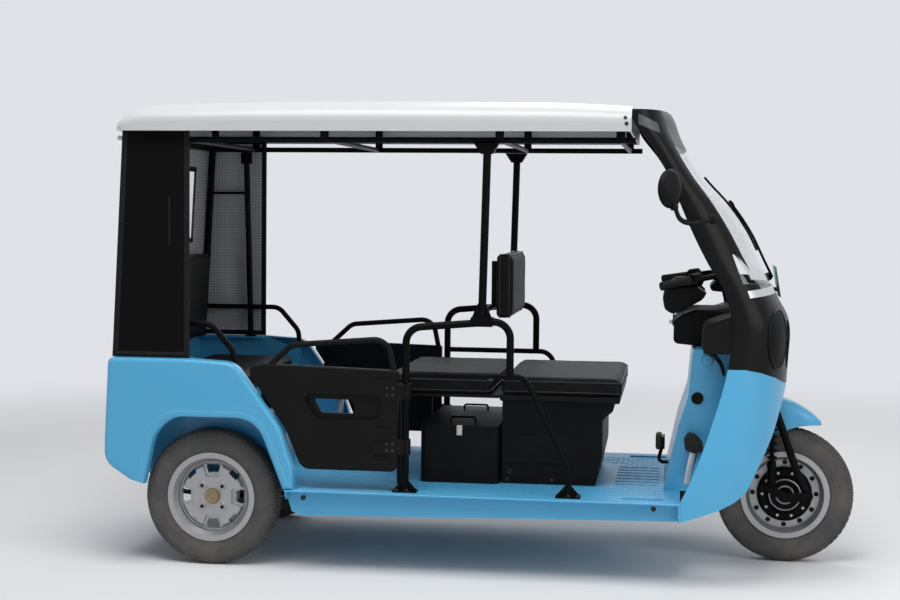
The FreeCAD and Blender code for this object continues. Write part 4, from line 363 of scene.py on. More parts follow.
# Finishes


class Bump(Enum):
    """What raises a finish's surface."""

    NONE = "none"
    GRAIN = "grain"
    WEAVE = "weave"


@dataclass(frozen=True)
class Finish:
    """A finish with colour, gloss, relief and dust, and the name of a record's slot, which it only holds."""

    name: str
    slot: str
    colour: Colour
    roughness: float = 0.4
    metallic: float = 0.0
    coat: float = 0.0
    bump: Bump = Bump.GRAIN
    cell: float = 0.003
    cracks: float = 0.0
    relief: float = 0.15
    depth: float = 0.0004
    dust: float = 0.12
    dust_top: float = 0.7
    variation: float = 0.08
    alpha: float = 1.0
    specular: float = 0.5
    dots: Colour | None = None

    def material(self) -> bpy.types.Material:
        """The node material, made on first use.

        Returns:
            The material.
        """
        label = self.name + "_look"
        found = bpy.data.materials.get(label)
        if found:
            return found
        made = bpy.data.materials.new(label)
        made.use_nodes = True
        wires = Wires(made.node_tree)
        shader = made.node_tree.nodes["Principled BSDF"]
        dust = DustGroup.use(wires, Colour=self.colour, Amount=self.dust, Top=self.dust_top,
                             Roughness=self.roughness, Variation=self.variation)
        if self.dots:
            mask = DotGroup.use(wires, Pitch=DOT_PITCH)
            wires.link(wires.mix(mask.outputs["Mask"], self.colour, self.dots), dust.inputs["Colour"])
        wires.link(dust.outputs["Colour"], shader.inputs["Base Color"])
        wires.link(dust.outputs["Roughness"], shader.inputs["Roughness"])
        shader.inputs["Metallic"].default_value = self.metallic
        shader.inputs["Coat Weight"].default_value = self.coat
        shader.inputs["Coat Roughness"].default_value = COAT_ROUGHNESS
        shader.inputs["Alpha"].default_value = self.alpha
        shader.inputs["Specular IOR Level"].default_value = self.specular
        shader.inputs["IOR"].default_value = REFRACTION
        self.raise_surface(wires, shader)
        return made

    def raise_surface(self, wires: Wires, shader: bpy.types.Node) -> None:
        """Feed the finish's relief to the shader's normal.

        Args:
            wires: The material's nodes.
            shader: Its main shader.
        """
        if self.bump is Bump.NONE:
            return
        if self.bump is Bump.WEAVE:
            source = WeaveGroup.use(wires, Thread=self.cell)
        else:
            source = GrainGroup.use(wires, Cell_Size=self.cell, Cracks=self.cracks)
        bump = wires.node("ShaderNodeBump", Strength=self.relief, Distance=self.depth)
        wires.link(source.outputs["Height"], bump.inputs["Height"])
        wires.link(bump.outputs["Normal"], shader.inputs["Normal"])


CRACKS = 0.3

BLUE = Finish("body_blue", "body_paint", (0.085, 0.42, 0.70), 0.34, coat=0.15, cell=0.02, relief=0.03,
              dust=0.03, dust_top=0.9, variation=0.04)
FLOOR_BLUE = Finish("floor_blue", "body_paint", (0.085, 0.41, 0.69), 0.45, cell=0.004, cracks=CRACKS,
                    relief=0.08, dust=0.06, dust_top=1.6)
WHITE = Finish("roof_white", "roof_white", (0.60, 0.60, 0.605), 0.35, coat=0.15, cell=0.03, relief=0.04,
               dust=0.02)
BLACK_PLASTIC = Finish("black_plastic", "black_plastic", (0.0045, 0.0045, 0.0047), 0.5, cell=0.0014,
                       cracks=CRACKS, relief=0.2, dust=0.01, dust_top=0.9, specular=0.14)
GLOSS_BLACK = Finish("gloss_black", "black_plastic", (0.0032, 0.0032, 0.0034), 0.36, coat=0.06, cell=0.02,
                     relief=0.02, dust=0.004, dust_top=0.9, specular=0.14)
BLACK_PAINT = Finish("black_paint", "black_plastic", (0.003, 0.003, 0.0032), 0.35, cell=0.006, relief=0.05,
                     dust=0.006, dust_top=0.9, specular=0.07)
CHASSIS_BLACK = Finish("chassis_black", "black_steel", (0.015, 0.014, 0.013), 0.55, cell=0.004,
                       cracks=CRACKS, relief=0.2, specular=0.15)
LEATHER = Finish("seat_leather", "cushion", (0.006, 0.006, 0.0064), 0.5, cracks=0.8, relief=0.5,
                 depth=0.0006, dust=0.007, dust_top=3.0, specular=0.1)
PIPING = Finish("seat_piping", "cushion", (0.010, 0.010, 0.011), cell=0.002, cracks=0.5, relief=0.2,
                dust=0.02, dust_top=3.0, specular=0.35)
CLOTH = Finish("curtain_cloth", "curtain", (0.0035, 0.0035, 0.0037), 0.75, bump=Bump.WEAVE, cell=0.0018,
               relief=0.25, dust=0.004, dust_top=3.0, specular=0.08)
LINING = Finish("curtain_lining", "curtain", (0.46, 0.46, 0.465), 0.8, bump=Bump.WEAVE, cell=0.004,
                relief=0.3, dust=0.02, dust_top=3.0, specular=0.2, dots=(0.78, 0.78, 0.78))
HEM = Finish("curtain_hem", "curtain", (0.006, 0.006, 0.0065), 0.6, bump=Bump.WEAVE, cell=0.0015,
             relief=0.3, dust=0.01, dust_top=3.0, specular=0.2)
# Pale grey stitching: a painted highlight for the vertical glint along the near right curtain's stitching.
STITCH_GLINT = Finish("stitch_painted_glint", "curtain", (0.06, 0.06, 0.062), 0.6, bump=Bump.WEAVE, cell=0.001, relief=0.3,
                dust=0.05, dust_top=3.0)
RUBBER = Finish("rubber", "rubber", (0.014, 0.014, 0.014), 0.7, cell=0.001, cracks=CRACKS, relief=0.3,
                dust=0.08, specular=0.3)
TYRE = Finish("tyre_rubber", "tyre", (0.085, 0.083, 0.081), 0.85, cell=0.002, cracks=CRACKS, relief=0.35,
              dust=0.3, dust_top=1.4, specular=0.25, variation=0.3)
SILVER = Finish("rim_silver", "rim_steel", (0.40, 0.40, 0.41), 0.42, 0.75, cell=0.01, relief=0.05, dust=0.1)
ZINC = Finish("zinc_bolt", "rim_steel", (0.55, 0.54, 0.5), 0.35, 0.9, cell=0.002, relief=0.05, dust=0.2)
BRONZE = Finish("hub_cap_bronze", "rim_steel", (0.28, 0.2, 0.11), 0.4, 0.7, cell=0.002, cracks=CRACKS,
                relief=0.1, dust=0.3)
BLACK_BOLT = Finish("black_bolt", "rim_steel", (0.03, 0.03, 0.032), 0.4, 0.6, cell=0.001, cracks=CRACKS,
                    relief=0.1, dust=0.25)
SILVER_TRIM = Finish("silver_trim", "rim_steel", (0.62, 0.63, 0.64), 0.3, 0.6, cell=0.004, relief=0.03,
                     dust=0.05)
GREY_PLASTIC = Finish("grey_plastic", "black_plastic", (0.075, 0.077, 0.08), cell=0.002, cracks=CRACKS,
                      relief=0.1, dust=0.05)
RED_PLASTIC = Finish("red_plastic", "black_plastic", (0.5, 0.015, 0.015), 0.35, cell=0.002, cracks=CRACKS,
                     relief=0.05, dust=0.05)
PLATE_GREEN = Finish("plate_green", "black_plastic", (0.012, 0.16, 0.085), 0.35, coat=0.2, cell=0.01,
                     relief=0.03, dust=0.08)
# Near-black, darker than the gloss black cowl: painted shade in the hollow round each head lamp.
RECESS_SHADE = Finish("lamp_recess_shade", "black_plastic", (0.0012, 0.0012, 0.0013), 0.5, cell=0.004, cracks=CRACKS,
                relief=0.05, dust=0.01, specular=0.12)
SCREEN = Finish("dark_screen", "black_plastic", (0.01, 0.012, 0.016), 0.08, coat=0.6, cell=0.02,
                relief=0.01, dust=0.03)
MIRROR = Finish("mirror_silver", "glass", (0.86, 0.87, 0.88), 0.03, 1.0, bump=Bump.NONE, dust=0.02)
CLEAR = Finish("clear_glass", "glass", (0.80, 0.86, 0.90), 0.04, bump=Bump.NONE, dust=0.0, alpha=0.16,
               specular=0.35)
LENS = Finish("lamp_lens", "lamp_clear", (0.75, 0.77, 0.8), 0.12, coat=0.5, cell=0.02, relief=0.03,
              dust=0.03)
AMBER_LENS = Finish("amber_lens", "lamp_clear", (0.75, 0.22, 0.015), 0.15, coat=0.5, cell=0.004, cracks=1.0,
                    relief=0.4, dust=0.05)
RED_LENS = Finish("red_lens", "lamp_red", (0.45, 0.012, 0.012), 0.15, coat=0.5, cell=0.004, cracks=1.0,
                  relief=0.4, dust=0.05)

NODE_FINISHES = {
    BLUE: ("lower_cowl", "quarter_panel_left", "quarter_panel_right", "seat_tub", "tail_panel",
           "inner_shield"),
    FLOOR_BLUE: ("floor_pan",),
    WHITE: ("roof_shell",),
    GLOSS_BLACK: ("upper_cowl", "windscreen_surround"),
    BLACK_PLASTIC: ("door_left", "door_right", "dash_panel", "driver_seat_base", "storage_box",
                    "storage_box_lid", "battery_block"),
    BLACK_PAINT: ("back_bar", "handlebar", "roof_frame", "side_frame_left", "side_frame_right",
                  "rear_frame_left", "rear_frame_right", "front_fork", "front_suspension", "brake_pedal",
                  "front_hub"),
    CHASSIS_BLACK: ("chassis_frame", "rear_axle", "leaf_springs"),
    RUBBER: ("hand_grips",),
    SILVER: ("front_rim", "rear_rim_left", "rear_rim_right"),
    CLEAR: ("glazing",),
    LENS: ("front_lamps",),
}


# Meshes


def mesh_object(name: str, mesh: bpy.types.Mesh) -> bpy.types.Object:
    """Put a mesh into the scene as an object at the origin.

    Args:
        name: The object's name.
        mesh: Its mesh.

    Returns:
        The object.
    """
    made = bpy.data.objects.new(name, mesh)
    bpy.context.scene.collection.objects.link(made)
    return made


def from_bmesh(name: str, shape: bmesh.types.BMesh, smooth: float = 35.0) -> bpy.types.Object:
    """Turn a bmesh into an object and free it.

    Args:
        name: The object's name.
        shape: The bmesh.
        smooth: The angle in degrees below which faces shade smoothly.

    Returns:
        The new object.
    """
    mesh = bpy.data.meshes.new(name)
    shape.to_mesh(mesh)
    shape.free()
    mesh.polygons.foreach_set("use_smooth", [True] * len(mesh.polygons))
    mesh.set_sharp_from_angle(angle=math.radians(smooth))
    return mesh_object(name, mesh)


def dress(piece: bpy.types.Object, finish: Finish, body: str = "body") -> bpy.types.Object:
    """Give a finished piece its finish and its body.

    Args:
        piece: The object, with its place in its mesh.
        finish: The finish it wears.
        body: The CAD body it rides on.

    Returns:
        The same object.
    """
    if not piece.data.materials:
        piece.data.materials.append(finish.material())
    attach(piece, body)
    LOG.info("%s rides on %s, %d faces", piece.name, body, len(piece.data.polygons))
    return piece


def settled(carrier: bpy.types.Object) -> bpy.types.Mesh:
    """A mesh of what an object's modifiers make.

    Args:
        carrier: The object with its modifiers.

    Returns:
        The new mesh.
    """
    depsgraph = bpy.context.evaluated_depsgraph_get()
    return bpy.data.meshes.new_from_object(carrier.evaluated_get(depsgraph), depsgraph=depsgraph)


def smooth_line(points: list[Point], steps: int = 8) -> list[Vector]:
    """Points along a smooth open spline.

    Args:
        points: The spline's control points.
        steps: How many pieces each of its spans has.

    Returns:
        The points, from the first control point to the last.
    """
    data = bpy.data.curves.new("line", "CURVE")
    data.dimensions = "3D"
    data.resolution_u = steps
    spline = data.splines.new("NURBS")
    spline.points.add(len(points) - 1)
    for row, point in enumerate(points):
        spline.points[row].co = (*point, 1.0)
    spline.order_u = 3
    spline.use_endpoint_u = True
    carrier = bpy.data.objects.new("line", data)
    mesh = bpy.data.meshes.new_from_object(carrier)
    line = [vertex.co.copy() for vertex in mesh.vertices]
    bpy.data.meshes.remove(mesh)
    bpy.data.objects.remove(carrier)
    bpy.data.curves.remove(data)
    return line


class Former:
    """Collects turned, extruded and swept solids in one mesh."""

    def __init__(self) -> None:
        """Start with an empty mesh."""
        self.shape = bmesh.new()

    def ring(self, places: list[Point]) -> list[bmesh.types.BMVert]:
        """New points of the mesh at these places."""
        return [self.shape.verts.new(place) for place in places]

    def skin(self, rings: list[list[bmesh.types.BMVert]], closed: bool = False, loop: bool = True) -> None:
        """Join rings of points with faces.

        Args:
            rings: The rings in order; a ring of one point is a pole.
            closed: Whether the last ring joins the first.
            loop: Whether each ring's last point joins its first.
        """
        pairs = list(zip(rings, rings[1:]))
        if closed:
            pairs.append((rings[-1], rings[0]))
        for first, second in pairs:
            count = max(len(first), len(second))
            for k in range(count if loop else count - 1):
                corners = [first[k % len(first)], first[(k + 1) % len(first)],
                           second[(k + 1) % len(second)], second[k % len(second)]]
                corners = list(dict.fromkeys(corners))
                if len(corners) > 2:
                    self.shape.faces.new(corners)

    def cap(self, rings: list[list[bmesh.types.BMVert]]) -> None:
        """Close the first and the last ring with a face each."""
        self.shape.faces.new(rings[0])
        self.shape.faces.new(rings[-1])

    def lathe(self, centre: Point, axis: Point, profile: list[Pair], steps: int = 32,
              closed: bool = False) -> "Former":
        """Turn a profile round an axis.

        Args:
            centre: The axis's start.
            axis: The axis's direction.
            profile: Distances along the axis, each with its radius.
            steps: Points round each ring.
            closed: Whether the profile's end joins its start.

        Returns:
            This former.
        """
        line = Vector(axis).normalized()
        side = Vector((1.0, 0.0, 0.0)) if abs(line.x) < 0.7 else Vector((0.0, 0.0, 1.0))
        side = (side - line * side.dot(line)).normalized()
        other = line.cross(side)
        rings = []
        for along, radius in profile:
            foot = Vector(centre) + line * along
            round_it = turns(steps) if radius > 0.0 else [0.0]
            rings.append(self.ring([foot + (side * math.cos(t) + other * math.sin(t)) * radius
                                    for t in round_it]))
        self.skin(rings, closed)
        return self

    def prism(self, outline: list[Pair], low: float, high: float, edge: float,
              upright: bool = True) -> "Former":
        """Extrude an outline and round its edges.

        Args:
            outline: Corners in the X-Z plane, or in the X-Y plane.
            low: Where the solid starts along the third axis.
            high: Where it ends.
            edge: The radius of its edges.
            upright: Whether the outline lies in X-Z.

        Returns:
            This former.
        """
        rings = [self.ring([(a, c, b) if upright else (a, b, c) for a, b in outline]) for c in (low, high)]
        self.skin(rings)
        self.cap(rings)
        if edge:
            corners = set(rings[0] + rings[1])
            edges = [e for e in self.shape.edges if set(e.verts) <= corners]
            bmesh.ops.bevel(self.shape, geom=edges, offset=edge, segments=2, profile=0.6, affect="EDGES",
                            clamp_overlap=True)
        return self

    def block(self, low: Point, high: Point, edge: float = 0.0) -> "Former":
        """Add a block with rounded edges between two corners.

        Args:
            low: The corner with the lowest values.
            high: The opposite corner.
            edge: The radius of its edges.

        Returns:
            This former.
        """
        outline = [(low[0], low[1]), (high[0], low[1]), (high[0], high[1]), (low[0], high[1])]
        return self.prism(outline, low[2], high[2], edge, upright=False)

    def sweep(self, line: list[Vector], radius: float, sides: int = 8, closed: bool = False,
              flat: float = 1.0, up: Vector | None = None) -> "Former":
        """Sweep a round or flattened section along a line.

        Args:
            line: The points of the line.
            radius: The section's radius.
            sides: Points round the section.
            closed: Whether the line is a loop.
            flat: The section's height as a share of its width.
            up: The direction of its height, where that doesn't turn with the line.

        Returns:
            This former.
        """
        count = len(line)
        normal = None
        rings = []
        for k, point in enumerate(line):
            before = line[k - 1] if k or closed else line[0]
            after = line[(k + 1) % count] if k < count - 1 or closed else line[-1]
            along = (after - before).normalized()
            if normal is None:
                normal = up or Vector((0.0, 0.0, 1.0) if abs(along.z) < 0.9 else (0.0, 1.0, 0.0))
            normal = (normal - along * normal.dot(along)).normalized()
            across = along.cross(normal)
            rings.append(self.ring([point + (across * math.cos(t) + normal * flat * math.sin(t)) * radius
                                    for t in turns(sides)]))
        self.skin(rings, closed)
        if not closed:
            self.cap(rings)
        return self

    def tube(self, points: list[Point], radius: float, sides: int = 8) -> "Former":
        """Sweep a round section along a smooth spline through control points."""
        return self.sweep(smooth_line(points), radius, sides)

    def both(self) -> "Former":
        """Add the mirror image on the vehicle's other side.

        Returns:
            This former.
        """
        geometry = self.shape.verts[:] + self.shape.edges[:] + self.shape.faces[:]
        for part in bmesh.ops.duplicate(self.shape, geom=geometry)["geom"]:
            if isinstance(part, bmesh.types.BMVert):
                part.co.y = -part.co.y
        return self

    def form(self, name: str, angle: float = 40.0) -> bpy.types.Object:
        """Turn the forms into a bare object."""
        bmesh.ops.recalc_face_normals(self.shape, faces=self.shape.faces)
        return from_bmesh(name, self.shape, angle)

    def piece(self, name: str, finish: Finish, body: str = "body", angle: float = 35.0,
              slot: str = "") -> bpy.types.Object:
        """Turn the forms into a dressed piece.

        Args:
            name: The piece's name.
            finish: Its finish.
            body: The body it rides on.
            angle: Degrees below which its faces shade smoothly.
            slot: The record's slot, where it isn't the finish's own; not used.

        Returns:
            The piece.
        """
        return dress(self.form(name, angle), finish, body)


@dataclass(frozen=True)
class Spot:
    """Where one copy goes, which way it points and how large it is."""

    place: Point
    way: Point = (0.0, 0.0, 1.0)
    size: float = 1.0
    turn: Point | None = None


class Scatter:
    """Puts copies of a small form at spots with Geometry Nodes and makes one mesh of them."""

    def __init__(self) -> None:
        """Lay the nodes: copies on points, turned and sized by attributes, made real and given a material."""
        self.tree = bpy.data.node_groups.new("copies_at_spots", "GeometryNodeTree")
        face = self.tree.interface
        face.new_socket(name="Geometry", in_out="INPUT", socket_type="NodeSocketGeometry")
        form = face.new_socket(name="Form", in_out="INPUT", socket_type="NodeSocketObject")
        finish = face.new_socket(name="Finish", in_out="INPUT", socket_type="NodeSocketMaterial")
        self.form, self.finish = form.identifier, finish.identifier
        face.new_socket(name="Geometry", in_out="OUTPUT", socket_type="NodeSocketGeometry")
        wires = Wires(self.tree)
        start = wires.node("NodeGroupInput")
        end = wires.node("NodeGroupOutput")
        info = wires.node("GeometryNodeObjectInfo")
        copies = wires.node("GeometryNodeInstanceOnPoints")
        turn = wires.node("GeometryNodeInputNamedAttribute", data_type="FLOAT_VECTOR", Name="turn")
        size = wires.node("GeometryNodeInputNamedAttribute", data_type="FLOAT", Name="size")
        spin = wires.node("FunctionNodeEulerToRotation")
        real = wires.node("GeometryNodeRealizeInstances")
        paint = wires.node("GeometryNodeSetMaterial")
        for source, target in (
                (start.outputs["Form"], info.inputs["Object"]),
                (start.outputs["Geometry"], copies.inputs["Points"]),
                (info.outputs["Geometry"], copies.inputs["Instance"]),
                (turn.outputs[0], spin.inputs[0]),
                (spin.outputs[0], copies.inputs["Rotation"]),
                (size.outputs[0], copies.inputs["Scale"]),
                (copies.outputs[0], real.inputs[0]),
                (real.outputs[0], paint.inputs["Geometry"]),
                (start.outputs["Finish"], paint.inputs["Material"]),
                (paint.outputs[0], end.inputs[0])):
            wires.link(source, target)

    def apply(self, name: str, form: bpy.types.Object, spots: list[Spot], finish: Finish,
              body: str = "body") -> bpy.types.Object:
        """Make one piece of the copies at these spots, and delete the form.

        Args:
            name: The piece's name.
            form: The form to copy.
            spots: Where the copies go.
            finish: The piece's finish.
            body: The body it rides on.

        Returns:
            The piece.
        """
        points = bpy.data.meshes.new(name + "_spots")
        points.from_pydata([spot.place for spot in spots], [], [])
        angles = [spot.turn or tuple(Vector(spot.way).to_track_quat("Z", "Y").to_euler()) for spot in spots]
        turn = points.attributes.new("turn", "FLOAT_VECTOR", "POINT")
        turn.data.foreach_set("vector", [value for angle in angles for value in angle])
        size = points.attributes.new("size", "FLOAT", "POINT")
        size.data.foreach_set("value", [spot.size for spot in spots])
        carrier = mesh_object(name + "_spots", points)
        modifier = carrier.modifiers.new("copies", "NODES")
        modifier.node_group = self.tree
        modifier[self.form] = form
        modifier[self.finish] = finish.material()
        mesh = settled(carrier)
        for extra in ("turn", "size"):
            if extra in mesh.attributes:
                mesh.attributes.remove(mesh.attributes[extra])
        bpy.data.objects.remove(carrier)
        bpy.data.objects.remove(form)
        return dress(mesh_object(name, mesh), finish, body)


def bolt_form(radius: float = 0.006) -> bpy.types.Object:
    """A hexagon head with a washer, standing on its spot.

    Args:
        radius: The head's radius.

    Returns:
        The form.
    """
    washer = [(SUNK, 0.0), (SUNK, radius * 1.45), (radius * 0.22, radius * 1.45),
              (radius * 0.3, radius * 1.3), (radius * 0.3, 0.0)]
    head = [(0.0, 0.0), (0.0, radius), (radius * 0.85, radius), (radius, radius * 0.86), (radius, 0.0)]
    former = Former().lathe(ORIGIN, UP, washer, 16)
    return former.lathe(ORIGIN, UP, head, 6).form("bolt_form")


def stud_form(radius: float) -> bpy.types.Object:
    """A low round-headed stud.

    Args:
        radius: The stud's radius.

    Returns:
        The form.
    """
    profile = [(SUNK, 0.0), (SUNK, radius), (radius * 0.25, radius), (radius * 0.5, radius * 0.7),
               (radius * 0.6, 0.0)]
    return Former().lathe(ORIGIN, UP, profile, 12).form("stud_form")


# The CAD model's surfaces


class Surfaces:
    """Finds points on the CAD nodes' faces."""

    def __init__(self, *nodes: str) -> None:
        """Build a search tree of these nodes' faces."""
        points, faces = [], []
        for node in nodes:
            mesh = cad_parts[node].data
            first = len(points)
            points += [vertex.co.copy() for vertex in mesh.vertices]
            faces += [[first + index for index in face.vertices] for face in mesh.polygons]
        self.tree = BVHTree.FromPolygons(points, faces)

    def hit(self, start: Point, way: Point) -> Hit | None:
        """The first point on the surface from a start along a direction, and its normal towards the start.

        Args:
            start: Where the line starts.
            way: Its direction.

        Returns:
            The place and its normal, or None where the line meets nothing.
        """
        place, normal, _, _ = self.tree.ray_cast(Vector(start), Vector(way).normalized())
        if place is None:
            return None
        return place, -normal if normal.dot(Vector(way)) > 0 else normal

    def beside(self, x: float, z: float, side: int, far: float = 0.9) -> Hit | None:
        """What a level line across the vehicle meets, from this far out on one side."""
        return self.hit((ahead(x), side * far, z), (0.0, -side, 0.0))

    def before(self, y: float, z: float, x: float = 3.0, way: float = -1.0) -> Hit | None:
        """What a level line along the vehicle meets, from the front or from this X."""
        return self.hit((ahead(x), y, z), (way, 0.0, 0.0))

    def spots(self, places: list[Pair], side: int, far: float = 0.9, size: float = 1.0) -> list[Spot]:
        """A spot on the surface for each place that a line from this side meets.

        Args:
            places: Distances ahead, each with its height.
            side: The vehicle's side.
            far: How far out the lines start.
            size: The copies' size.

        Returns:
            The spots that were met.
        """
        hits = [self.beside(x, z, side, far) for x, z in places]
        return [Spot(tuple(found[0]), tuple(found[1]), size) for found in hits if found]


def patch(former: Former, surfaces: Surfaces, corners: list[Point], way: Point, lift: float, wall: float,
          counts: tuple[int, int]) -> None:
    """Lay a thin patch on a surface, seen along a direction.

    Args:
        former: The former that gets it.
        surfaces: What it lies on.
        corners: Four corners round the patch, away from the surface on the viewer's side.
        way: The direction from the corners to the surface.
        lift: How far its outer face stands off the surface.
        wall: Its thickness.
        counts: Cells along and across.
    """
    one, two, three, four = (Vector(corner) for corner in corners)
    outer, inner = [], []
    found = surfaces.hit(one.lerp(three, 0.5), way)
    for row in range(counts[1] + 1):
        share = row / counts[1]
        first, last = one.lerp(four, share), two.lerp(three, share)
        hits = []
        for column in range(counts[0] + 1):
            found = surfaces.hit(first.lerp(last, column / counts[0]), way) or found
            hits.append(found)
        outer.append(former.ring([place + normal * lift for place, normal in hits]))
        inner.append(former.ring([place + normal * (lift - wall) for place, normal in hits]))
    edges = []
    for layer in (outer, inner):
        former.skin(layer, loop=False)
        edges.append((layer[0], [row[-1] for row in layer], layer[-1][::-1], [row[0] for row in layer][::-1]))
    for edge, edge_in in zip(*edges):
        former.skin([edge, edge_in], loop=False)


# Wheels


@dataclass(frozen=True)
class Tyre:
    """A road tyre with ribs, shoulder lugs and a ringed wall, which stands for its CAD node."""

    node: str
    body: str
    centre: Point
    radius: float
    half_width: float
    pitches: int = 60

    WALL = ((0.0400, 0.1580), (0.0405, 0.1742), (0.0438, 0.1790), (0.0462, 0.1832), (0.0470, 0.1850),
            (0.0464, 0.1868), (0.0484, 0.1900), (0.0503, 0.1975), (0.0517, 0.2085), (0.0514, 0.2200),
            (0.0506, 0.2265), (0.0509, 0.2282), (0.0503, 0.2300), (0.0488, 0.2375), (0.0470, 0.2430),
            (0.0440, 0.2495), (0.0400, 0.2548), (0.0300, 0.2582), (0.0150, 0.2597), (0.0, 0.2600))
    TREAD = WALL[:12:-1]
    LUGS = ((0.10, 1.70, 0.04, 0.78), (-1.70, -0.10, 0.34, 1.08), (2.05, 5.7, 0.05, 0.40),
            (2.05, 5.7, 0.55, 0.90), (-5.7, -2.05, 0.15, 0.50), (-5.7, -2.05, 0.65, 1.00))
    INSET, SKEW, HEIGHT, FADE, ROOT = 0.04, 0.05, 0.004, 0.0009, -0.001

    def scaled(self, point: Pair) -> Pair:
        """A profile point at this tyre's width and radius.

        Args:
            point: Half a width with its radius.

        Returns:
            The same pair on this tyre.
        """
        width, radius = point
        grown = radius + (self.radius - 0.264) * max(0.0, radius - 0.174) / 0.09
        return width * self.half_width / 0.052, grown

    def build(self) -> None:
        """Turn the wall, then set the tread round it."""
        half = [self.scaled(point) for point in self.WALL]
        profile = [(-width, radius) for width, radius in half] + half[-2::-1]
        former = Former().lathe(self.centre, (0, 1, 0), profile, 96, closed=True)
        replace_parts(former.piece(self.node + "_wall", TYRE, self.body, 50.0), self.node)
        spots = [Spot(self.centre, turn=(0.0, turn, 0.0)) for turn in turns(self.pitches)]
        SCATTER.apply(self.node + "_tread", self.pitch(), spots, TYRE, self.body)

    def on_tread(self, across: float, around: float, height: float) -> Vector:
        """A point of the tread.

        Args:
            across: Steps of the tread's profile from the middle, less than zero on the right.
            around: A share of a pitch.
            height: The height over the groove.

        Returns:
            The point, from the wheel's middle.
        """
        side = -1.0 if across < 0 else 1.0
        step = min(abs(across), len(self.TREAD) - 1.001)
        low = int(step)
        one, two = (Vector(self.scaled(self.TREAD[k])) for k in (low, low + 1))
        place = one.lerp(two, step - low)
        place += Vector((one.y - two.y, two.x - one.x)).normalized() * height
        angle = math.tau * around / self.pitches
        return Vector((place.y * math.sin(angle), side * place.x, place.y * math.cos(angle)))

    def pitch(self) -> bpy.types.Object:
        """One pitch of the tread pattern round the wheel's middle.

        Returns:
            The lugs as a form.
        """
        former = Former()
        for first, last, start, end in self.LUGS:
            rings = []
            for across in (first + (last - first) * k / 4 for k in range(5)):
                top = self.HEIGHT - self.FADE * max(0.0, abs(across) - 3)
                section = ((start, self.ROOT), (start + self.INSET, top), (end - self.INSET, top),
                           (end, self.ROOT))
                rings.append(former.ring([self.on_tread(across, around + self.SKEW * across, height)
                                          for around, height in section]))
            former.skin(rings)
            former.cap(rings)
        return former.form("pitch_form")


@dataclass(frozen=True)
class RearWheel:
    """The fittings on a rear rim: hub cap, lug rings and wells, valve and bead ring."""

    side: int
    radius: float = 0.264
    track_half: float = 0.462
    dish: float = 0.022
    lug_circle: float = 0.057
    bead: float = 0.133

    CAP = [(-0.002, 0.0), (-0.002, 0.0300), (0.003, 0.0305), (0.006, 0.0290), (0.0125, 0.0282),
           (0.0148, 0.0262), (0.0152, 0.0200), (0.0142, 0.0180), (0.0142, 0.0080), (0.0156, 0.0060),
           (0.0158, 0.0)]
    BOSS = [(-0.001, 0.0105), (-0.001, 0.0165), (0.002, 0.0160), (0.0034, 0.0140), (0.0034, 0.0105)]
    WELL = [(0.0080, 0.0), (0.0080, 0.0072), (0.0096, 0.0080), (0.0096, 0.0)]
    VALVE = [(0.0, 0.0), (0.0, 0.0055), (0.010, 0.0050), (0.012, 0.0036), (0.026, 0.0032), (0.027, 0.0)]

    def build(self) -> None:
        """Make the tyre and each fitting."""
        tag = SIDE_NAMES[self.side]
        body = "rear_wheel_" + tag
        out = (0.0, float(self.side), 0.0)
        Tyre("rear_tyre_" + tag, body, self.middle(-self.dish), self.radius, 0.052).build()
        Former().lathe(self.middle(), out, self.CAP, 48).piece("hub_cap_" + tag, BRONZE, body)
        rings, wells = Former(), Former()
        for turn in turns(4, 0.5):
            place = round_point(self.middle(), self.lug_circle, turn)
            rings.lathe(place, out, self.BOSS, 24, closed=True)
            wells.lathe(place, out, self.WELL, 6)
        line = [Vector(round_point(self.middle(-0.0125), self.bead, turn)) for turn in turns(72)]
        rings.sweep(line, 0.0028, closed=True).piece("lug_rings_" + tag, SILVER, body)
        valve = Vector(self.middle(-0.014)) + Vector((0.104, 0.0, 0.088))
        wells.lathe(valve, out, self.VALVE, 12).piece("lug_wells_" + tag, GLOSS_BLACK, body)

    def middle(self, out: float = 0.0) -> Point:
        """The wheel's middle on the rim's outer face, or this far out of it."""
        return AXLE_X, self.side * (self.track_half + self.dish + out), self.radius


@dataclass(frozen=True)
class FrontWheel:
    """The fittings on the front wheel: tyre, hub rings, the dark plate behind the slots, and cover screws."""

    radius: float = 0.268
    screw_circle: float = 0.088

    INNER = [(0.0, 0.030), (0.003, 0.031), (0.0045, 0.034), (0.003, 0.037), (0.0, 0.038)]
    OUTER = [(-0.001, 0.058), (0.002, 0.0585), (0.0028, 0.0605), (0.0, 0.064)]
    BACKING = [(0.0045, 0.1095), (0.0045, 0.1385), (0.0060, 0.1390), (0.0060, 0.1095)]

    def build(self) -> None:
        """Make the tyre and each fitting."""
        body = "front_wheel"
        centre = (FRONT_AXLE_X, 0.0, self.radius)
        Tyre("front_tyre", body, centre, self.radius, 0.049).build()
        rings = Former()
        spots = []
        for side in SIDES:
            face = (FRONT_AXLE_X, side * 0.0415, self.radius)
            rings.lathe(face, (0, side, 0), self.INNER, 40, closed=True)
            rings.lathe(face, (0, side, 0), self.OUTER, 48, closed=True)
            cover = (FRONT_AXLE_X, side * 0.0322, self.radius)
            spots += [Spot(round_point(cover, self.screw_circle, turn), (0.0, side, 0.0))
                      for turn in turns(10)]
        rings.piece("hub_rings", SILVER, body)
        backing = Former().lathe(centre, (0, 1, 0), self.BACKING, 72, closed=True)
        backing.piece("slot_backing", GLOSS_BLACK, body, slot="black_steel")
        SCATTER.apply("hub_screws", bolt_form(0.0038), spots, ZINC, body)


# Seats


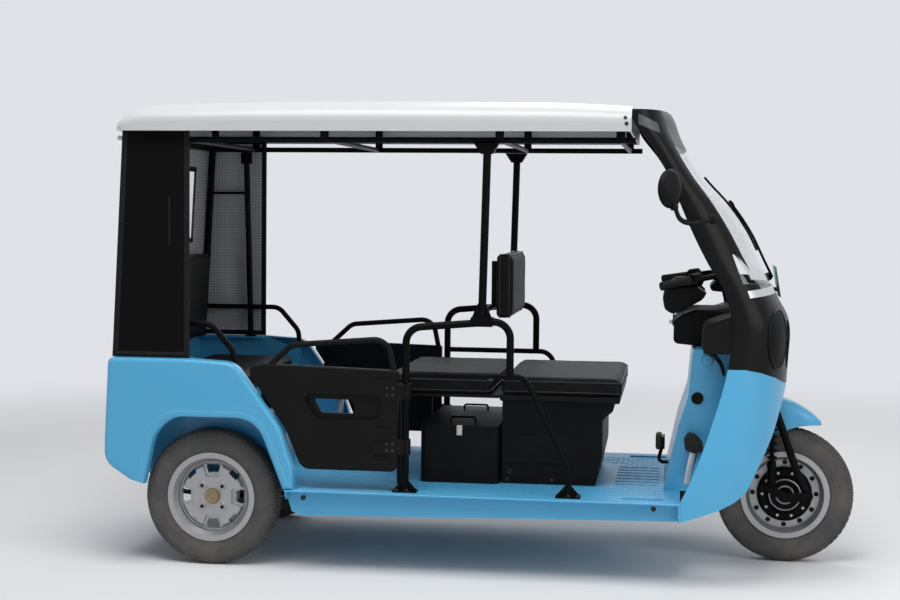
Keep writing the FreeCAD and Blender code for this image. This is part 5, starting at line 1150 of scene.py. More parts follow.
@dataclass(frozen=True)
class Pad:
    """One upholstered pad, swelled by a cloth simulation, with its piping."""

    name: str
    low: Point
    high: Point
    swell: float = 0.009
    round: float = 0.016
    lean: float = 0.0
    upright: bool = False

    FRAMES = 20
    PRESSURE = 4.0
    SLACK = 0.004
    LIFT = 0.0005
    FILL = 0.85
    PIPE, PIPE_OUT, PIPE_STEPS, PIPE_SHARES = 0.0026, 0.0006, 24, (0.80, 0.22)

    @property
    def rest_axis(self) -> int:
        """The axis across the side that the pad rests on."""
        return 0 if self.upright else 2

    def build(self) -> bpy.types.Object:
        """Make the pad and its piping, leaned about its rear lower edge.

        Returns:
            The pad.
        """
        former = Former().block(*self.inner())
        bmesh.ops.bevel(former.shape, geom=former.shape.edges[:], offset=self.round, segments=4, profile=0.5,
                        affect="EDGES", clamp_overlap=True)
        pad = former.form(self.name)
        modifier = pad.modifiers.new("even", "REMESH")
        modifier.mode = "VOXEL"
        modifier.voxel_size = 0.006
        self.apply(pad)
        self.inflate(pad)
        self.soften(pad)
        pipes = self.piping(pad)
        if self.lean:
            turn = Matrix.Rotation(self.lean, 4, "Y")
            corner = Matrix.Translation((self.low[0], 0.0, self.low[2]))
            for item in (pad, pipes):
                item.data.transform(corner @ turn @ corner.inverted())
        dress(pad, LEATHER)
        dress(pipes, PIPING)
        return pad

    def inner(self) -> tuple[Point, Point]:
        """The block's corners, drawn in to leave room for the swelling.

        Returns:
            The low and the high corner.
        """
        low = [value + self.swell * 0.6 for value in self.low]
        high = [value - self.swell * 0.6 for value in self.high]
        low[self.rest_axis] = self.low[self.rest_axis] + 0.001
        return tuple(low), tuple(high)

    @staticmethod
    def apply(pad: bpy.types.Object) -> None:
        """Make the modifiers' result the pad's own mesh.

        Args:
            pad: The pad with its modifiers.
        """
        mesh = settled(pad)
        old = pad.data
        pad.modifiers.clear()
        pad.data = mesh
        bpy.data.meshes.remove(old)

    def inflate(self, pad: bpy.types.Object) -> None:
        """Swell the pad by cloth pressure and cap how far its points move.

        Args:
            pad: The pad with even faces.
        """
        rest = [vertex.co.copy() for vertex in pad.data.vertices]
        cloth = pad.modifiers.new("cloth", "CLOTH")
        cloth.settings.use_pressure = True
        cloth.settings.uniform_pressure_force = self.PRESSURE
        cloth.settings.effector_weights.gravity = 0.0
        cloth.settings.quality = 4
        cloth.point_cache.frame_start = 1
        cloth.point_cache.frame_end = self.FRAMES
        scene = bpy.context.scene
        for frame in range(1, self.FRAMES + 1):
            scene.frame_set(frame)
        self.apply(pad)
        scene.frame_set(1)
        for vertex, place in zip(pad.data.vertices, rest):
            move = vertex.co - place
            if move.length > self.swell:
                vertex.co = place + move.normalized() * self.swell

    def soften(self, pad: bpy.types.Object) -> None:
        """Smooth the pad, keep it in its own space and flatten the side that it rests on.

        Args:
            pad: The swelled pad.
        """
        shape = bmesh.new()
        shape.from_mesh(pad.data)
        for _ in range(3):
            bmesh.ops.smooth_vert(shape, verts=shape.verts, factor=0.5, use_axis_x=True, use_axis_y=True,
                                  use_axis_z=True)
        for vert in shape.verts:
            for axis in range(3):
                low, high = self.low[axis] - self.SLACK, self.high[axis] + self.SLACK
                vert.co[axis] = min(max(vert.co[axis], low), high)
            vert.co[self.rest_axis] = max(vert.co[self.rest_axis], self.low[self.rest_axis] + self.LIFT)
        shape.to_mesh(pad.data)
        shape.free()
        pad.data.polygons.foreach_set("use_smooth", [True] * len(pad.data.polygons))

    def piping(self, pad: bpy.types.Object) -> bpy.types.Object:
        """Sewn piping round the pad's face and its foot, laid on its surface.

        Args:
            pad: The finished pad.

        Returns:
            The piping, bare.
        """
        tree = BVHTree.FromObject(pad, bpy.context.evaluated_depsgraph_get())
        former = Former()
        flat = self.rest_axis
        first, second = [axis for axis in range(3) if axis != flat]
        corners = ((0, 0), (1, 0), (1, 1), (0, 1))
        bounds = (self.low, self.high)
        for share in self.PIPE_SHARES:
            level = self.low[flat] + (self.high[flat] - self.low[flat]) * share
            posts = []
            for u, v in corners:
                post = Vector((level, level, level))
                post[first], post[second] = bounds[u][first], bounds[v][second]
                posts.append(post)
            placed = []
            for one, two in zip(posts, posts[1:] + posts[:1]):
                for k in range(self.PIPE_STEPS):
                    near, normal, _, _ = tree.find_nearest(one.lerp(two, k / self.PIPE_STEPS))
                    near[flat] = level
                    placed.append(near + normal * self.PIPE_OUT)
            former.sweep(placed, self.PIPE, closed=True)
        return former.form(self.name + "_piping")


class Seats:
    """The five pads: rear seat and back, middle bench, driver's seat and back pad."""

    def build(self) -> None:
        """Make each pad in the place of its CAD solid."""
        x = ahead
        rear = Pad("rear_seat_pad", (x(-0.298), -0.430, 0.652), (x(0.100), 0.430, 0.728)).build()
        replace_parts(rear, "seat_cushions")
        Pad("bench_pad", (x(0.640), -0.400, 0.676), (x(1.084), 0.400, 0.742)).build()
        Pad("driver_pad", (x(1.096), -0.380, 0.676), (x(1.582), 0.380, 0.742)).build()
        back = Pad("rear_back_pad", (x(-0.3719), -0.430, 0.802), (x(-0.3059), 0.430, 1.190),
                   lean=math.atan2(0.048, 0.866), upright=True).build()
        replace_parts(back, "backrests")
        Pad("driver_back_pad", (x(1.073), -0.270, 0.952), (x(1.135), 0.270, 1.222), upright=True).build()


# Curtains


@dataclass(frozen=True)
class Curtain:
    """A sheet between four corners, with an optional window, hems, a lining inside and press studs."""

    name: str
    corners: tuple[Point, Point, Point, Point]
    inside: Point
    flat: Pair
    rests_on: tuple[str, ...]
    window: tuple[float, float, float, float] | None = None
    columns: int = 24
    rows: int = 48
    wall: float = 0.0024
    wave: float = 0.0016
    hem: float = 0.022

    STRIP_STEPS, STRIP_LIFT = 24, 0.0007
    STRIP_SECTION = ((-1, -0.6), (-0.9, -1), (0.9, -1), (1, -0.6), (1, 0.6), (0.9, 1), (-0.9, 1), (-1, 0.6))
    STUDS, STUD_RADIUS = 6, 0.0055

    def at(self, across: float, up: float, off: float = 0.0) -> Vector:
        """A point of the hanging sheet by its shares across and up, and how far inside it lies.

        Args:
            across: The share across.
            up: The share up.
            off: How far inside it lies.

        Returns:
            The point.
        """
        one, two, three, four = (Vector(corner) for corner in self.corners)
        place = one.lerp(two, across).lerp(four.lerp(three, across), up)
        return place + self.normal() * off

    def normal(self) -> Vector:
        """The sheet's direction towards the inside.

        Returns:
            The direction.
        """
        one, two, _, four = (Vector(corner) for corner in self.corners)
        turn = (two - one).cross(four - one).normalized()
        return turn if turn.dot(Vector(self.inside)) > 0 else -turn

    def sag(self, across: float, up: float) -> float:
        """How far the cloth stands off its flat sheet: slow folds that die out at the hems.

        Args:
            across: The share across.
            up: The share up.

        Returns:
            The distance.
        """
        fold = math.sin(math.pi * up) * math.sin(math.pi * across)
        long_wave = math.sin(5.1 * across + 2.0 * up + 0.4) + 0.6 * math.sin(9.7 * across - 3.1 * up)
        return self.wave * fold * long_wave

    @staticmethod
    def shares(count: int, low: float | None, high: float | None) -> list[float]:
        """Even shares with the window's two edges among them.

        Args:
            count: How many even steps.
            low: The window's first edge, or None.
            high: Its second edge, or None.

        Returns:
            The shares in order.
        """
        even = [k / count for k in range(count + 1)]
        if low is None:
            return even
        kept = [share for share in even if min(abs(share - low), abs(share - high)) > 0.4 / count]
        return sorted(kept + [low, high])

    def build(self) -> bpy.types.Object:
        """Make the cloth, its hems and its studs.

        Returns:
            The cloth.
        """
        west, east, foot, head = self.window or (None, None, None, None)
        columns, rows = self.shares(self.columns, west, east), self.shares(self.rows, foot, head)
        former = Former()
        layers = [[former.ring([self.at(a, u, self.sag(a, u) + off) for a in columns]) for u in rows]
                  for off in (0.0, self.wall)]
        solid = [[not (self.window and west < (a + b) / 2 < east and foot < (u + v) / 2 < head)
                  for a, b in zip(columns, columns[1:])] for u, v in zip(rows, rows[1:])]
        for layer, grid in enumerate(layers):
            for j, line in enumerate(solid):
                for i, filled in enumerate(line):
                    if filled:
                        corners = (grid[j][i], grid[j][i + 1], grid[j + 1][i + 1], grid[j + 1][i])
                        former.shape.faces.new(corners).material_index = layer
        self.close(former, layers, solid)
        cloth = former.form(self.name, 60.0)
        for finish in (CLOTH, LINING):
            cloth.data.materials.append(finish.material())
        dress(cloth, CLOTH)
        hems, studs = self.hems(), self.studs()
        area = self.flat[0] * self.flat[1]
        if self.window:
            area *= 1.0 - (east - west) * (head - foot)
        return cloth

    @staticmethod
    def close(former: Former, layers: list, solid: list[list[bool]]) -> None:
        """Join the two layers round the sheet and round its window.

        Args:
            former: The former with both layers.
            layers: The grids of their points.
            solid: Which cells are cloth.
        """
        outer, inner = layers
        for j, line in enumerate(solid):
            for i, filled in enumerate(line):
                if not filled:
                    continue
                sides = (((j, i), (j, i + 1), j - 1, i), ((j, i + 1), (j + 1, i + 1), j, i + 1),
                         ((j + 1, i + 1), (j + 1, i), j + 1, i), ((j + 1, i), (j, i), j, i - 1))
                for (a, b), (c, d), row, column in sides:
                    if 0 <= row < len(solid) and 0 <= column < len(line) and solid[row][column]:
                        continue
                    former.shape.faces.new((outer[a][b], outer[c][d], inner[c][d], inner[a][b]))

    def strip(self, former: Former, one: Pair, two: Pair) -> None:
        """Lay one flat hem strip between two places of the sheet, thicker than the cloth.

        Args:
            former: The former that gets it.
            one: Where it starts, in shares.
            two: Where it ends.
        """
        inward = self.normal()
        line = []
        for k in range(self.STRIP_STEPS + 1):
            a, u = (start + (end - start) * k / self.STRIP_STEPS for start, end in zip(one, two))
            line.append(self.at(a, u, self.sag(a, u) + self.wall / 2))
        across = inward.cross((line[-1] - line[0]).normalized()) * self.hem / 2
        thick = inward * (self.wall * 0.5 + self.STRIP_LIFT)
        rings = [former.ring([point + across * a + thick * b for a, b in self.STRIP_SECTION])
                 for point in line]
        former.skin(rings)
        former.cap(rings)

    def hem_lines(self) -> list[tuple[Pair, Pair]]:
        """The hems' places: the four edges and the window's frame.

        Returns:
            Each strip's two ends, in shares.
        """
        one, two, _, four = (Vector(corner) for corner in self.corners)
        a, u = self.hem / 2 / (two - one).length, self.hem / 2 / (four - one).length
        lines = [((0, u), (1, u)), ((1, 1 - u), (0, 1 - u)), ((a, 1), (a, 0)), ((1 - a, 0), (1 - a, 1))]
        if self.window:
            west, east, foot, head = self.window
            lines += [((west - a, foot), (east + a, foot)), ((east + a, head), (west - a, head)),
                      ((west, head + u), (west, foot - u)), ((east, foot - u), (east, head + u))]
        return lines

    def hems(self) -> bpy.types.Object:
        """Every hem strip in one piece.

        Returns:
            The piece.
        """
        former = Former()
        for one, two in self.hem_lines():
            self.strip(former, one, two)
        return former.piece(self.name + "_hems", HEM)

    def studs(self) -> bpy.types.Object:
        """Press studs along the upright hems and the foot.

        Returns:
            The piece.
        """
        lines = self.hem_lines()
        spots = []
        for one, two in (lines[0], lines[2], lines[3]):
            for k in range(self.STUDS):
                a, u = (start + (end - start) * (k + 0.5) / self.STUDS for start, end in zip(one, two))
                place = self.at(a, u, -self.STRIP_LIFT - self.wall * 0.1)
                spots.append(Spot(tuple(place), tuple(-self.normal())))
        return SCATTER.apply(self.name + "_studs", stud_form(self.STUD_RADIUS), spots, GLOSS_BLACK)


class Curtains:
    """The two side curtains and the rear curtain with its window."""

    def build(self) -> None:
        """Hang the three sheets in the places of their CAD solids, and lay a pale stitched line on the right
        curtain as a painted highlight: the glint along its stitching.
        """
        low, high = 0.8068, 1.691
        for side in SIDES:
            corners = tuple((ahead(x), side * 0.5535, z) for x, z in
                            ((-0.379, low), (-0.071, low), (-0.071, high), (-0.333, high)))
            tag = SIDE_NAMES[side]
            sheet = Curtain("side_curtain_" + tag, corners, (0.0, -float(side), 0.0), (0.286, 0.884),
                            ("rear_frame_" + tag,)).build()
            if side == RIGHT:
                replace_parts(sheet, "side_curtains")
        foot, head, half, reach = ahead(-0.3775), ahead(-0.3295), 0.545, 0.3447 / 1.09
        corners = ((foot, -half, low), (foot, half, low), (head, half, 1.670), (head, -half, 1.670))
        rear = Curtain("rear_curtain_sheet", corners, (1.0, 0.0, 0.0), (2 * half, 0.8645),
                       ("rear_frame_right", "rear_frame_left"), (0.5 - reach, 0.5 + reach, 0.5, 0.86),
                       columns=40).build()
        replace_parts(rear, "rear_curtain")
        # A pale stitched line on the right curtain: painted highlight of the glint along its stitching.
        glint_line = [(ahead(x), -0.5545, z) for x, z in ((-0.150, 1.42), (-0.1495, 1.33), (-0.149, 1.24))]
        Former().tube(glint_line, 0.0009, 6).piece("curtain_seam", STITCH_GLINT)


# Body trim


def rounded_line(corners: list[Pair], bends: Pair, steps: int = 12) -> list[Pair]:
    """An open outline whose inner corners are rounded by their bends.

    Args:
        corners: The outline's corners.
        bends: How far from its corner each bend starts.
        steps: Pieces of each bend.

    Returns:
        The rounded outline.
    """
    line = [corners[0]]
    for before, corner, after, bend in zip(corners, corners[1:], corners[2:], bends):
        here = Vector(corner)
        one = here + (Vector(before) - here).normalized() * bend
        two = here + (Vector(after) - here).normalized() * bend
        for k in range(steps + 1):
            share = k / steps
            line.append(tuple(one.lerp(here, share).lerp(here.lerp(two, share), share)))
    return line + [corners[-1]]


class BodyTrim:
    """Arch bands, sill grommets, door bolts and latches, and the frames' bolts."""

    ARCH_RADIUS, ARCH_REACH, ARCH_BENDS = 0.264, 0.012, (0.11286, 0.094248)
    ARCH = ((-0.996, 1.25), (-0.720, 2.223), (0.739, 2.223), (1.165, 1.25))
    GROMMET = [(-0.004, 0.0), (-0.004, 0.010), (0.0014, 0.0098), (0.0022, 0.0085), (0.0016, 0.006),
               (-0.0002, 0.0055), (-0.0002, 0.0)]

    def build(self) -> None:
        """Make every piece on both sides."""
        radius, reach = self.ARCH_RADIUS, self.ARCH_REACH
        corners = [(x * radius + math.copysign(reach, x), z * radius + (reach if z > 2 else 0.0))
                   for x, z in self.ARCH]
        line = [Vector((ahead(x), -0.5843, z)) for x, z in rounded_line(corners, self.ARCH_BENDS)]
        arch = Former().sweep(line, 0.0125, 12, flat=0.2, up=Vector((0.0, 1.0, 0.0))).both()
        arch.piece("arch_bands", BLUE, angle=60.0)
        grommets = Former()
        for x, z in ((0.385, 0.290), (1.700, 0.296)):
            grommets.lathe((ahead(x), -0.5835, z), (0, -1, 0), self.GROMMET, 20)
        grommets.both().piece("sill_grommets", RUBBER)
        for side in SIDES:
            self.door(side)
        self.frame_bolts()

    def door(self, side: int) -> None:
        """Bolts on one door's hinges and a latch inside it.

        Args:
            side: The door's side.
        """
        tag = SIDE_NAMES[side]
        surfaces = Surfaces("door_" + tag)
        places = [(x, z) for x in (0.700, 0.722) for z in (0.475, 0.501, 0.685, 0.711)]
        spots = surfaces.spots(places, side, 0.8)
        if spots:
            SCATTER.apply("door_bolts_" + tag, bolt_form(0.0042), spots, BLACK_BOLT, "door_" + tag)
        found = surfaces.hit((ahead(0.235), side * 0.3, 0.66), (0, side, 0))
        y = found[0].y if found else side * 0.526
        latch = Former()
        for x, z, reach, edge in (((0.205, 0.265), (0.630, 0.690), (0.001, -0.012), 0.004),
                                  ((0.225, 0.240), (0.610, 0.668), (-0.011, -0.020), 0.003)):
            low, high = sorted(y + side * value for value in reach)
            latch.block((ahead(x[0]), low, z[0]), (ahead(x[1]), high, z[1]), edge)
        latch.piece("door_latch_" + tag, GLOSS_BLACK, "door_" + tag)

    def frame_bolts(self) -> None:
        """Bolts where the hoops, posts and plates are screwed to the floor and to each other."""
        spots = []
        for side in SIDES:
            surfaces = Surfaces("side_frame_" + SIDE_NAMES[side])
            for foot in (0.735, 0.775, 1.035, 1.070, 1.385, 1.420):
                for y in (0.512, 0.538):
                    found = surfaces.hit((ahead(foot), side * y, 0.345), (0, 0, -1))
                    if found and found[0].z < 0.33:
                        spots.append(Spot(tuple(found[0]), tuple(found[1])))
            spots += surfaces.spots([(1.010, 1.03), (1.010, 0.98), (1.094, 1.03), (1.094, 0.98),
                                     (1.030, 1.02), (1.075, 1.02)], side, 0.8, 0.8)
        SCATTER.apply("frame_bolts", bolt_form(), spots, BLACK_BOLT)


class TailTrim:
    """The three-part tail lamps, reflectors, blank plate and tail screws."""

    LAMP_Y, LAMP_Z = 0.42, 0.646
    PARTS = (("tail_lamp_red", RED_LENS, -0.026, 0.026), ("tail_lamp_amber", AMBER_LENS, 0.030, 0.072),
             ("tail_lamp_clear", LENS, -0.072, -0.030))
    REFLECTOR = [(-0.002, 0.0), (-0.002, 0.030), (0.004, 0.030), (0.0055, 0.028), (0.0065, 0.0)]

    def build(self) -> None:
        """Make the pieces on the tail."""
        y, z = self.LAMP_Y, self.LAMP_Z
        housing = self.slab(-0.4035, -0.386, (-y - 0.0395, -y + 0.0395), (z - 0.0795, z + 0.0795), 0.006)
        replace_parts(housing.both().piece("tail_lamp_housings", GLOSS_BLACK, slot="lamp_red"), "tail_lamps")
        for name, finish, low, high in self.PARTS:
            lens = self.slab(-0.4075, -0.398, (-y - 0.034, -y + 0.034), (z + low, z + high), 0.005).both()
            lens.piece(name, finish)
        plate = self.slab(-0.4095, -0.4065, (-0.105, 0.105), (0.548, 0.652), 0.0012)
        plate.piece("rear_plate", WHITE, slot="black_plastic")
        holder = self.slab(-0.4067, -0.4035, (-0.112, 0.112), (0.540, 0.662), 0.001)
        holder.piece("rear_plate_holder", BLACK_PLASTIC)
        places = [(-0.4095, 0.082, 0.600), (-0.404, 0.50, 0.77), (-0.404, 0.25, 0.785), (-0.404, 0.50, 0.50)]
        spots = [Spot((ahead(x), side * wide, high), (-1.0, 0.0, 0.0))
                 for side in SIDES for x, wide, high in places]
        SCATTER.apply("tail_screws", stud_form(0.005), spots, ZINC)
        reflector = Former().lathe((ahead(-0.4035), -0.245, 0.46), (-1, 0, 0), self.REFLECTOR, 28)
        reflector.both().piece("tail_reflectors", RED_LENS)

    @staticmethod
    def slab(back: float, front: float, wide: Pair, high: Pair, edge: float) -> Former:
        """A flat block on the tail between these limits."""
        return Former().block((ahead(back), wide[0], high[0]), (ahead(front), wide[1], high[1]), edge)


class FloorTrim:
    """Raised anti-slip dashes on the floor, and the loom between the box and the seat base."""

    ROWS, COLUMNS = 31, 33
    FIRST_X, FIRST_Y, PITCH_X, PITCH_Y = 0.410, -0.450, 0.042, 0.030
    TOP, FRONT = 0.3160, 1.73
    COVERED = ((0.770, 1.110, 0.315), (1.090, 1.560, 0.285))

    def build(self) -> None:
        """Make the dashes and the loom."""
        dash = Former().block((-0.014, -0.0022, -0.0008), (0.014, 0.0022, 0.0014), 0.0008).form("dash_form")
        spots = []
        for row in range(self.ROWS):
            y = self.FIRST_Y + self.PITCH_Y * row
            for column in range(self.COLUMNS):
                x = self.FIRST_X + self.PITCH_X * column + (self.PITCH_X / 2 if row % 2 else 0.0)
                covered = any(low < x < high and abs(y) < half for low, high, half in self.COVERED)
                if not covered and x < self.FRONT:
                    spots.append(Spot((ahead(x), y, self.TOP), turn=(0.0, 0.0, 0.0)))
        SCATTER.apply("floor_dashes", dash, spots, FLOOR_BLUE)
        loom = Former()
        for y, drop in ((-0.245, 0.0), (-0.215, 0.009)):
            foot = 0.324 + drop
            places = ((1.090, 0.345), (1.097, 0.345), (1.101, foot), (1.107, foot))
            loom.tube([(ahead(x), y, z) for x, z in places], 0.0045)
        loom.piece("base_loom", RUBBER)


# Nose, dash and cab


class NoseTrim:
    """The wiper, blank plate, silver bands, bulkhead bosses, pedals, lamps and dash cables."""

    ARM = ((2.120, 0.02, 1.128), (2.100, 0.0, 1.195), (2.070, -0.03, 1.255), (2.044, -0.04, 1.300),
           (1.985, -0.05, 1.378), (1.940, -0.05, 1.428))
    WIPER_FOOT = [(-0.004, 0.0), (-0.004, 0.017), (0.012, 0.016), (0.018, 0.011), (0.020, 0.0)]
    BOSS = [(-0.001, 0.0), (-0.001, 0.021), (0.005, 0.0195), (0.008, 0.0165), (0.0085, 0.0150),
            (0.0085, 0.005), (0.006, 0.004), (0.006, 0.0)]
    CAP = [(-0.001, 0.0), (-0.001, 0.0235), (0.004, 0.023), (0.006, 0.021), (0.005, 0.017), (0.005, 0.0)]
    LAMP_RING = ((-0.001, 1.0), (0.003, 0.99), (0.004, 0.92), (0.002, 0.86), (-0.001, 0.84))
    LAMP_BOWL = ((-0.0005, 0.0), (-0.0005, 0.84), (0.0016, 0.82), (0.0008, 0.5), (0.0012, 0.32),
                 (0.0055, 0.26), (0.0075, 0.0))
    CABLE = ((1.835, -0.160, 0.880), (1.836, -0.163, 0.866), (1.847, -0.225, 0.842), (1.876, -0.300, 0.851),
             (1.902, -0.322, 0.850), (1.925, -0.330, 0.825), (1.944, -0.333, 0.799), (1.951, -0.333, 0.765))

    def build(self) -> None:
        """Make every piece on the front end."""
        self.wiper()
        self.plate_and_bands()
        self.bulkhead()
        self.pedal()
        self.lamps()
        self.hoods()
        self.side_pedal()
        self.cables()

    def wiper(self) -> None:
        """The wiper's arm, foot and blade in front of the screen."""
        surfaces = Surfaces("glazing", "windscreen_surround", "upper_cowl")
        arm = []
        for x, y, z in self.ARM:
            found = surfaces.before(y, z)
            arm.append((found[0].x + 0.020 if found else ahead(x), y, z))
        foot = (arm[0][0] - 0.020, *arm[0][1:])
        former = Former().tube(arm, 0.0052).lathe(foot, (1, 0, 0.4), self.WIPER_FOOT, 20)
        places = [(-0.075 + 0.05 * k / 8, 1.235 + 0.285 * k / 8) for k in range(9)]
        blade = [(surfaces.before(y, z)[0].x + 0.008, y, z) for y, z in places if surfaces.before(y, z)]
        former.tube(blade, 0.0048, 6)
        end, middle = arm[-1], blade[len(blade) // 2]
        bend = ((end[0] + middle[0]) / 2 + 0.004, (end[1] + middle[1]) / 2, end[2])
        former.tube([end, bend, middle], 0.0035, 6).piece("wiper", BLACK_PAINT)

    def plate_and_bands(self) -> None:
        """A blank plate upright at the foot of the screen, and the silver band below each quarter window."""
        outline = ((2.1480, 1.172), (2.1515, 1.174), (2.1720, 1.0545), (2.1685, 1.0530))
        plate = Former().prism([(ahead(x), z) for x, z in outline], -0.100, 0.100, 0.001)
        plate.piece("front_plate", PLATE_GREEN)
        holder, bands = Former(), Former()
        surfaces = Surfaces("upper_cowl", "windscreen_surround", "glazing")
        for side in SIDES:
            stay = ((2.110, 1.085), (2.145, 1.083), (2.163, 1.080))
            holder.tube([(ahead(x), side * 0.06, z) for x, z in stay], 0.005)
            corners = [(ahead(x), side * 0.9, z) for x, z in
                       ((2.036, 1.068), (2.136, 1.078), (2.130, 1.106), (2.026, 1.094))]
            patch(bands, surfaces, corners, (0, -side, 0), 0.0030, 0.005, (14, 4))
        holder.piece("front_plate_holder", GLOSS_BLACK)
        bands.piece("cowl_bands", SILVER_TRIM, angle=50.0, slot="black_plastic")

    def bulkhead(self) -> None:
        """The boss with its hook, and the round cap, on each side of the bulkhead."""
        surfaces = Surfaces("inner_shield")
        bosses, caps = Former(), Former()
        for side in SIDES:
            for former, x, z, profile in ((bosses, 1.892, 0.822, self.BOSS), (caps, 1.855, 0.674, self.CAP)):
                found = surfaces.beside(x, z, side, 0.5)
                centre = (ahead(x), found[0].y if found else side * 0.300, z)
                former.lathe(centre, (0, side, 0), profile)
                if former is bosses:
                    hook = (centre[0], centre[1] + side * 0.003, z)
                    former.tube([round_point(hook, 0.027, turn) for turn in (0.6, 1.2, 1.9, 2.6, 3.3)], 0.003)
        bosses.piece("bulkhead_bosses", BLUE)
        caps.piece("bulkhead_caps", BLACK_PLASTIC)

    def pedal(self) -> None:
        """The ribbed rubber on the brake pedal."""
        low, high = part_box("brake_pedal")
        (front, right, _), (_, left, top) = low, high
        front -= 0.004
        former = Former()
        former.block((front, right - 0.006, top - 0.050), (front + 0.020, left + 0.006, top + 0.008), 0.005)
        for k in range(5):
            z = top - 0.042 + 0.010 * k
            former.block((front - 0.003, right - 0.002, z), (front + 0.002, left + 0.002, z + 0.005), 0.0012)
        former.piece("pedal_rubber", RUBBER)

    def lamps(self) -> None:
        """A bright bowl with a bulb cover on each head lamp's face, and its ring."""
        bowls, rings = Former(), Former()
        surfaces = Surfaces("front_lamps")
        for side in SIDES:
            for z, radius in ((0.915, 0.036), (0.848, 0.030)):
                found = surfaces.before(side * 0.262, z)
                if not found:
                    continue
                for former, shares in ((rings, self.LAMP_RING), (bowls, self.LAMP_BOWL)):
                    profile = [(along, radius * share) for along, share in shares]
                    former.lathe(*found, profile, 40, former is rings)
        rings.piece("lamp_rings", SILVER_TRIM, slot="lamp_clear")
        bowls.piece("lamp_bowls", LENS)

    def hoods(self) -> None:
        """A near-black oval sheet laid on the cowl round each head lamp, carried round the cowl's corner, as
        painted shade in the lamp's hollow, with its bezel.
        """
        recess_shades, bezels = Former(), Former()
        surfaces = Surfaces("upper_cowl", "front_lamps")
        for side in SIDES:
            rings = []
            for share in (0.02, 0.3, 0.6, 0.85, 1.0):
                places = [(2.143 + 0.036 * share * math.cos(turn), 0.912 + 0.108 * share * math.sin(turn))
                          for turn in turns(48)]
                hits = [surfaces.beside(x, z, side) for x, z in places]
                rings.append([place + normal * 0.0022 for place, normal in hits])
            made = [recess_shades.ring(ring) for ring in rings]
            recess_shades.skin(made)
            recess_shades.shape.faces.new(made[0])
            bezels.sweep(rings[-1], 0.0028, closed=True)
        # The sheet round each lamp is painted shade of its hollow.
        recess_shades.piece("lamp_hollows", RECESS_SHADE, angle=60.0)
        bezels.piece("lamp_bezels", GLOSS_BLACK, angle=60.0)

    def side_pedal(self) -> None:
        """The parking pedal outside the bulkhead: rubber pad, pale lever and blue brace."""
        pad = ((1.812, 0.482), (1.806, 0.520), (1.824, 0.548), (1.850, 0.540), (1.876, 0.514), (1.880, 0.478),
               (1.846, 0.470))
        lever = ((1.829, 0.474), (1.853, 0.471), (1.829, 0.352), (1.806, 0.350))
        brace = ((1.866, 0.486), (1.882, 0.480), (1.842, 0.350), (1.826, 0.350))
        for name, outline, low, high, edge, finish in (("pad", pad, -0.365, -0.312, 0.006, RUBBER),
                                                       ("lever", lever, -0.350, -0.330, 0.003, SILVER_TRIM),
                                                       ("brace", brace, -0.345, -0.304, 0.003, BLUE)):
            former = Former().prism([(ahead(x), z) for x, z in outline], low, high, edge)
            if name == "lever":
                pivot = [(-0.002, 0.0), (-0.002, 0.011), (0.006, 0.010), (0.007, 0.0)]
                former.lathe((ahead(1.822), -0.350, 0.362), (0, -1, 0), pivot, 20)
            former.piece("side_pedal_" + name, finish)

    def cables(self) -> None:
        """The two cables from the dash down behind the cowl."""
        for row, (lift, radius) in enumerate(((0.0, 0.0048), (0.010, 0.0038))):
            route = smooth_line([(ahead(x + lift * 0.3), y + lift * 0.2, z + (lift if k > 1 else 0.0))
                                 for k, (x, y, z) in enumerate(self.CABLE)], 10)
            piece = Former().sweep(route, radius, 14).piece("dash_cable_%d" % row, RUBBER, angle=60.0)


class Fender:
    """The front mudguard: a beaked hood over the tyre, which stands for its CAD node."""

    TOP = ((1.925, 0.650), (1.972, 0.667), (2.040, 0.678), (2.110, 0.672), (2.180, 0.656), (2.233, 0.643),
           (2.289, 0.616), (2.324, 0.588), (2.344, 0.560))
    FOOT = ((1.925, 0.572), (1.972, 0.545), (2.040, 0.512), (2.110, 0.500), (2.170, 0.512), (2.218, 0.540),
            (2.263, 0.550), (2.310, 0.551), (2.343, 0.549))
    HALF = (0.046, 0.056, 0.064, 0.066, 0.0655, 0.064, 0.059, 0.046, 0.018)
    SIDE_CURVE, CROWN_CURVE, WALL, EDGE = 0.62, 0.72, 0.0032, 0.0030

    def build(self) -> None:
        """Loft the hood with a flat crown, full sides and a rolled edge."""
        top, foot = (smooth_line([(x, 0.0, z) for x, z in line], 6) for line in (self.TOP, self.FOOT))
        width = smooth_line([(float(k), 0.0, half) for k, half in enumerate(self.HALF)], 6)
        former = Former()
        layers = []
        for wall in (0.0, self.WALL):
            rings = []
            for high, low, half in zip(top, foot, width):
                ring = []
                for turn in (math.pi * k / 32 for k in range(33)):
                    across, up = math.cos(turn), math.sin(turn)
                    y = (half.z - wall) * math.copysign(abs(across) ** self.SIDE_CURVE, across)
                    z = low.z + (high.z - low.z - wall) * up ** self.CROWN_CURVE
                    ring.append((ahead((high.x + low.x) / 2), y, z))
                rings.append(former.ring(ring))
            former.skin(rings, loop=False)
            layers.append((rings[0], rings[-1], [ring[0] for ring in rings], [ring[-1] for ring in rings]))
        for edge, edge_in in zip(*layers):
            former.skin([edge, edge_in], loop=False)
        for edge in layers[0][2:]:
            former.sweep([vert.co.copy() for vert in edge], self.EDGE)
        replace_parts(former.piece("front_hood", BLUE, "steering", 50.0), "front_fender")


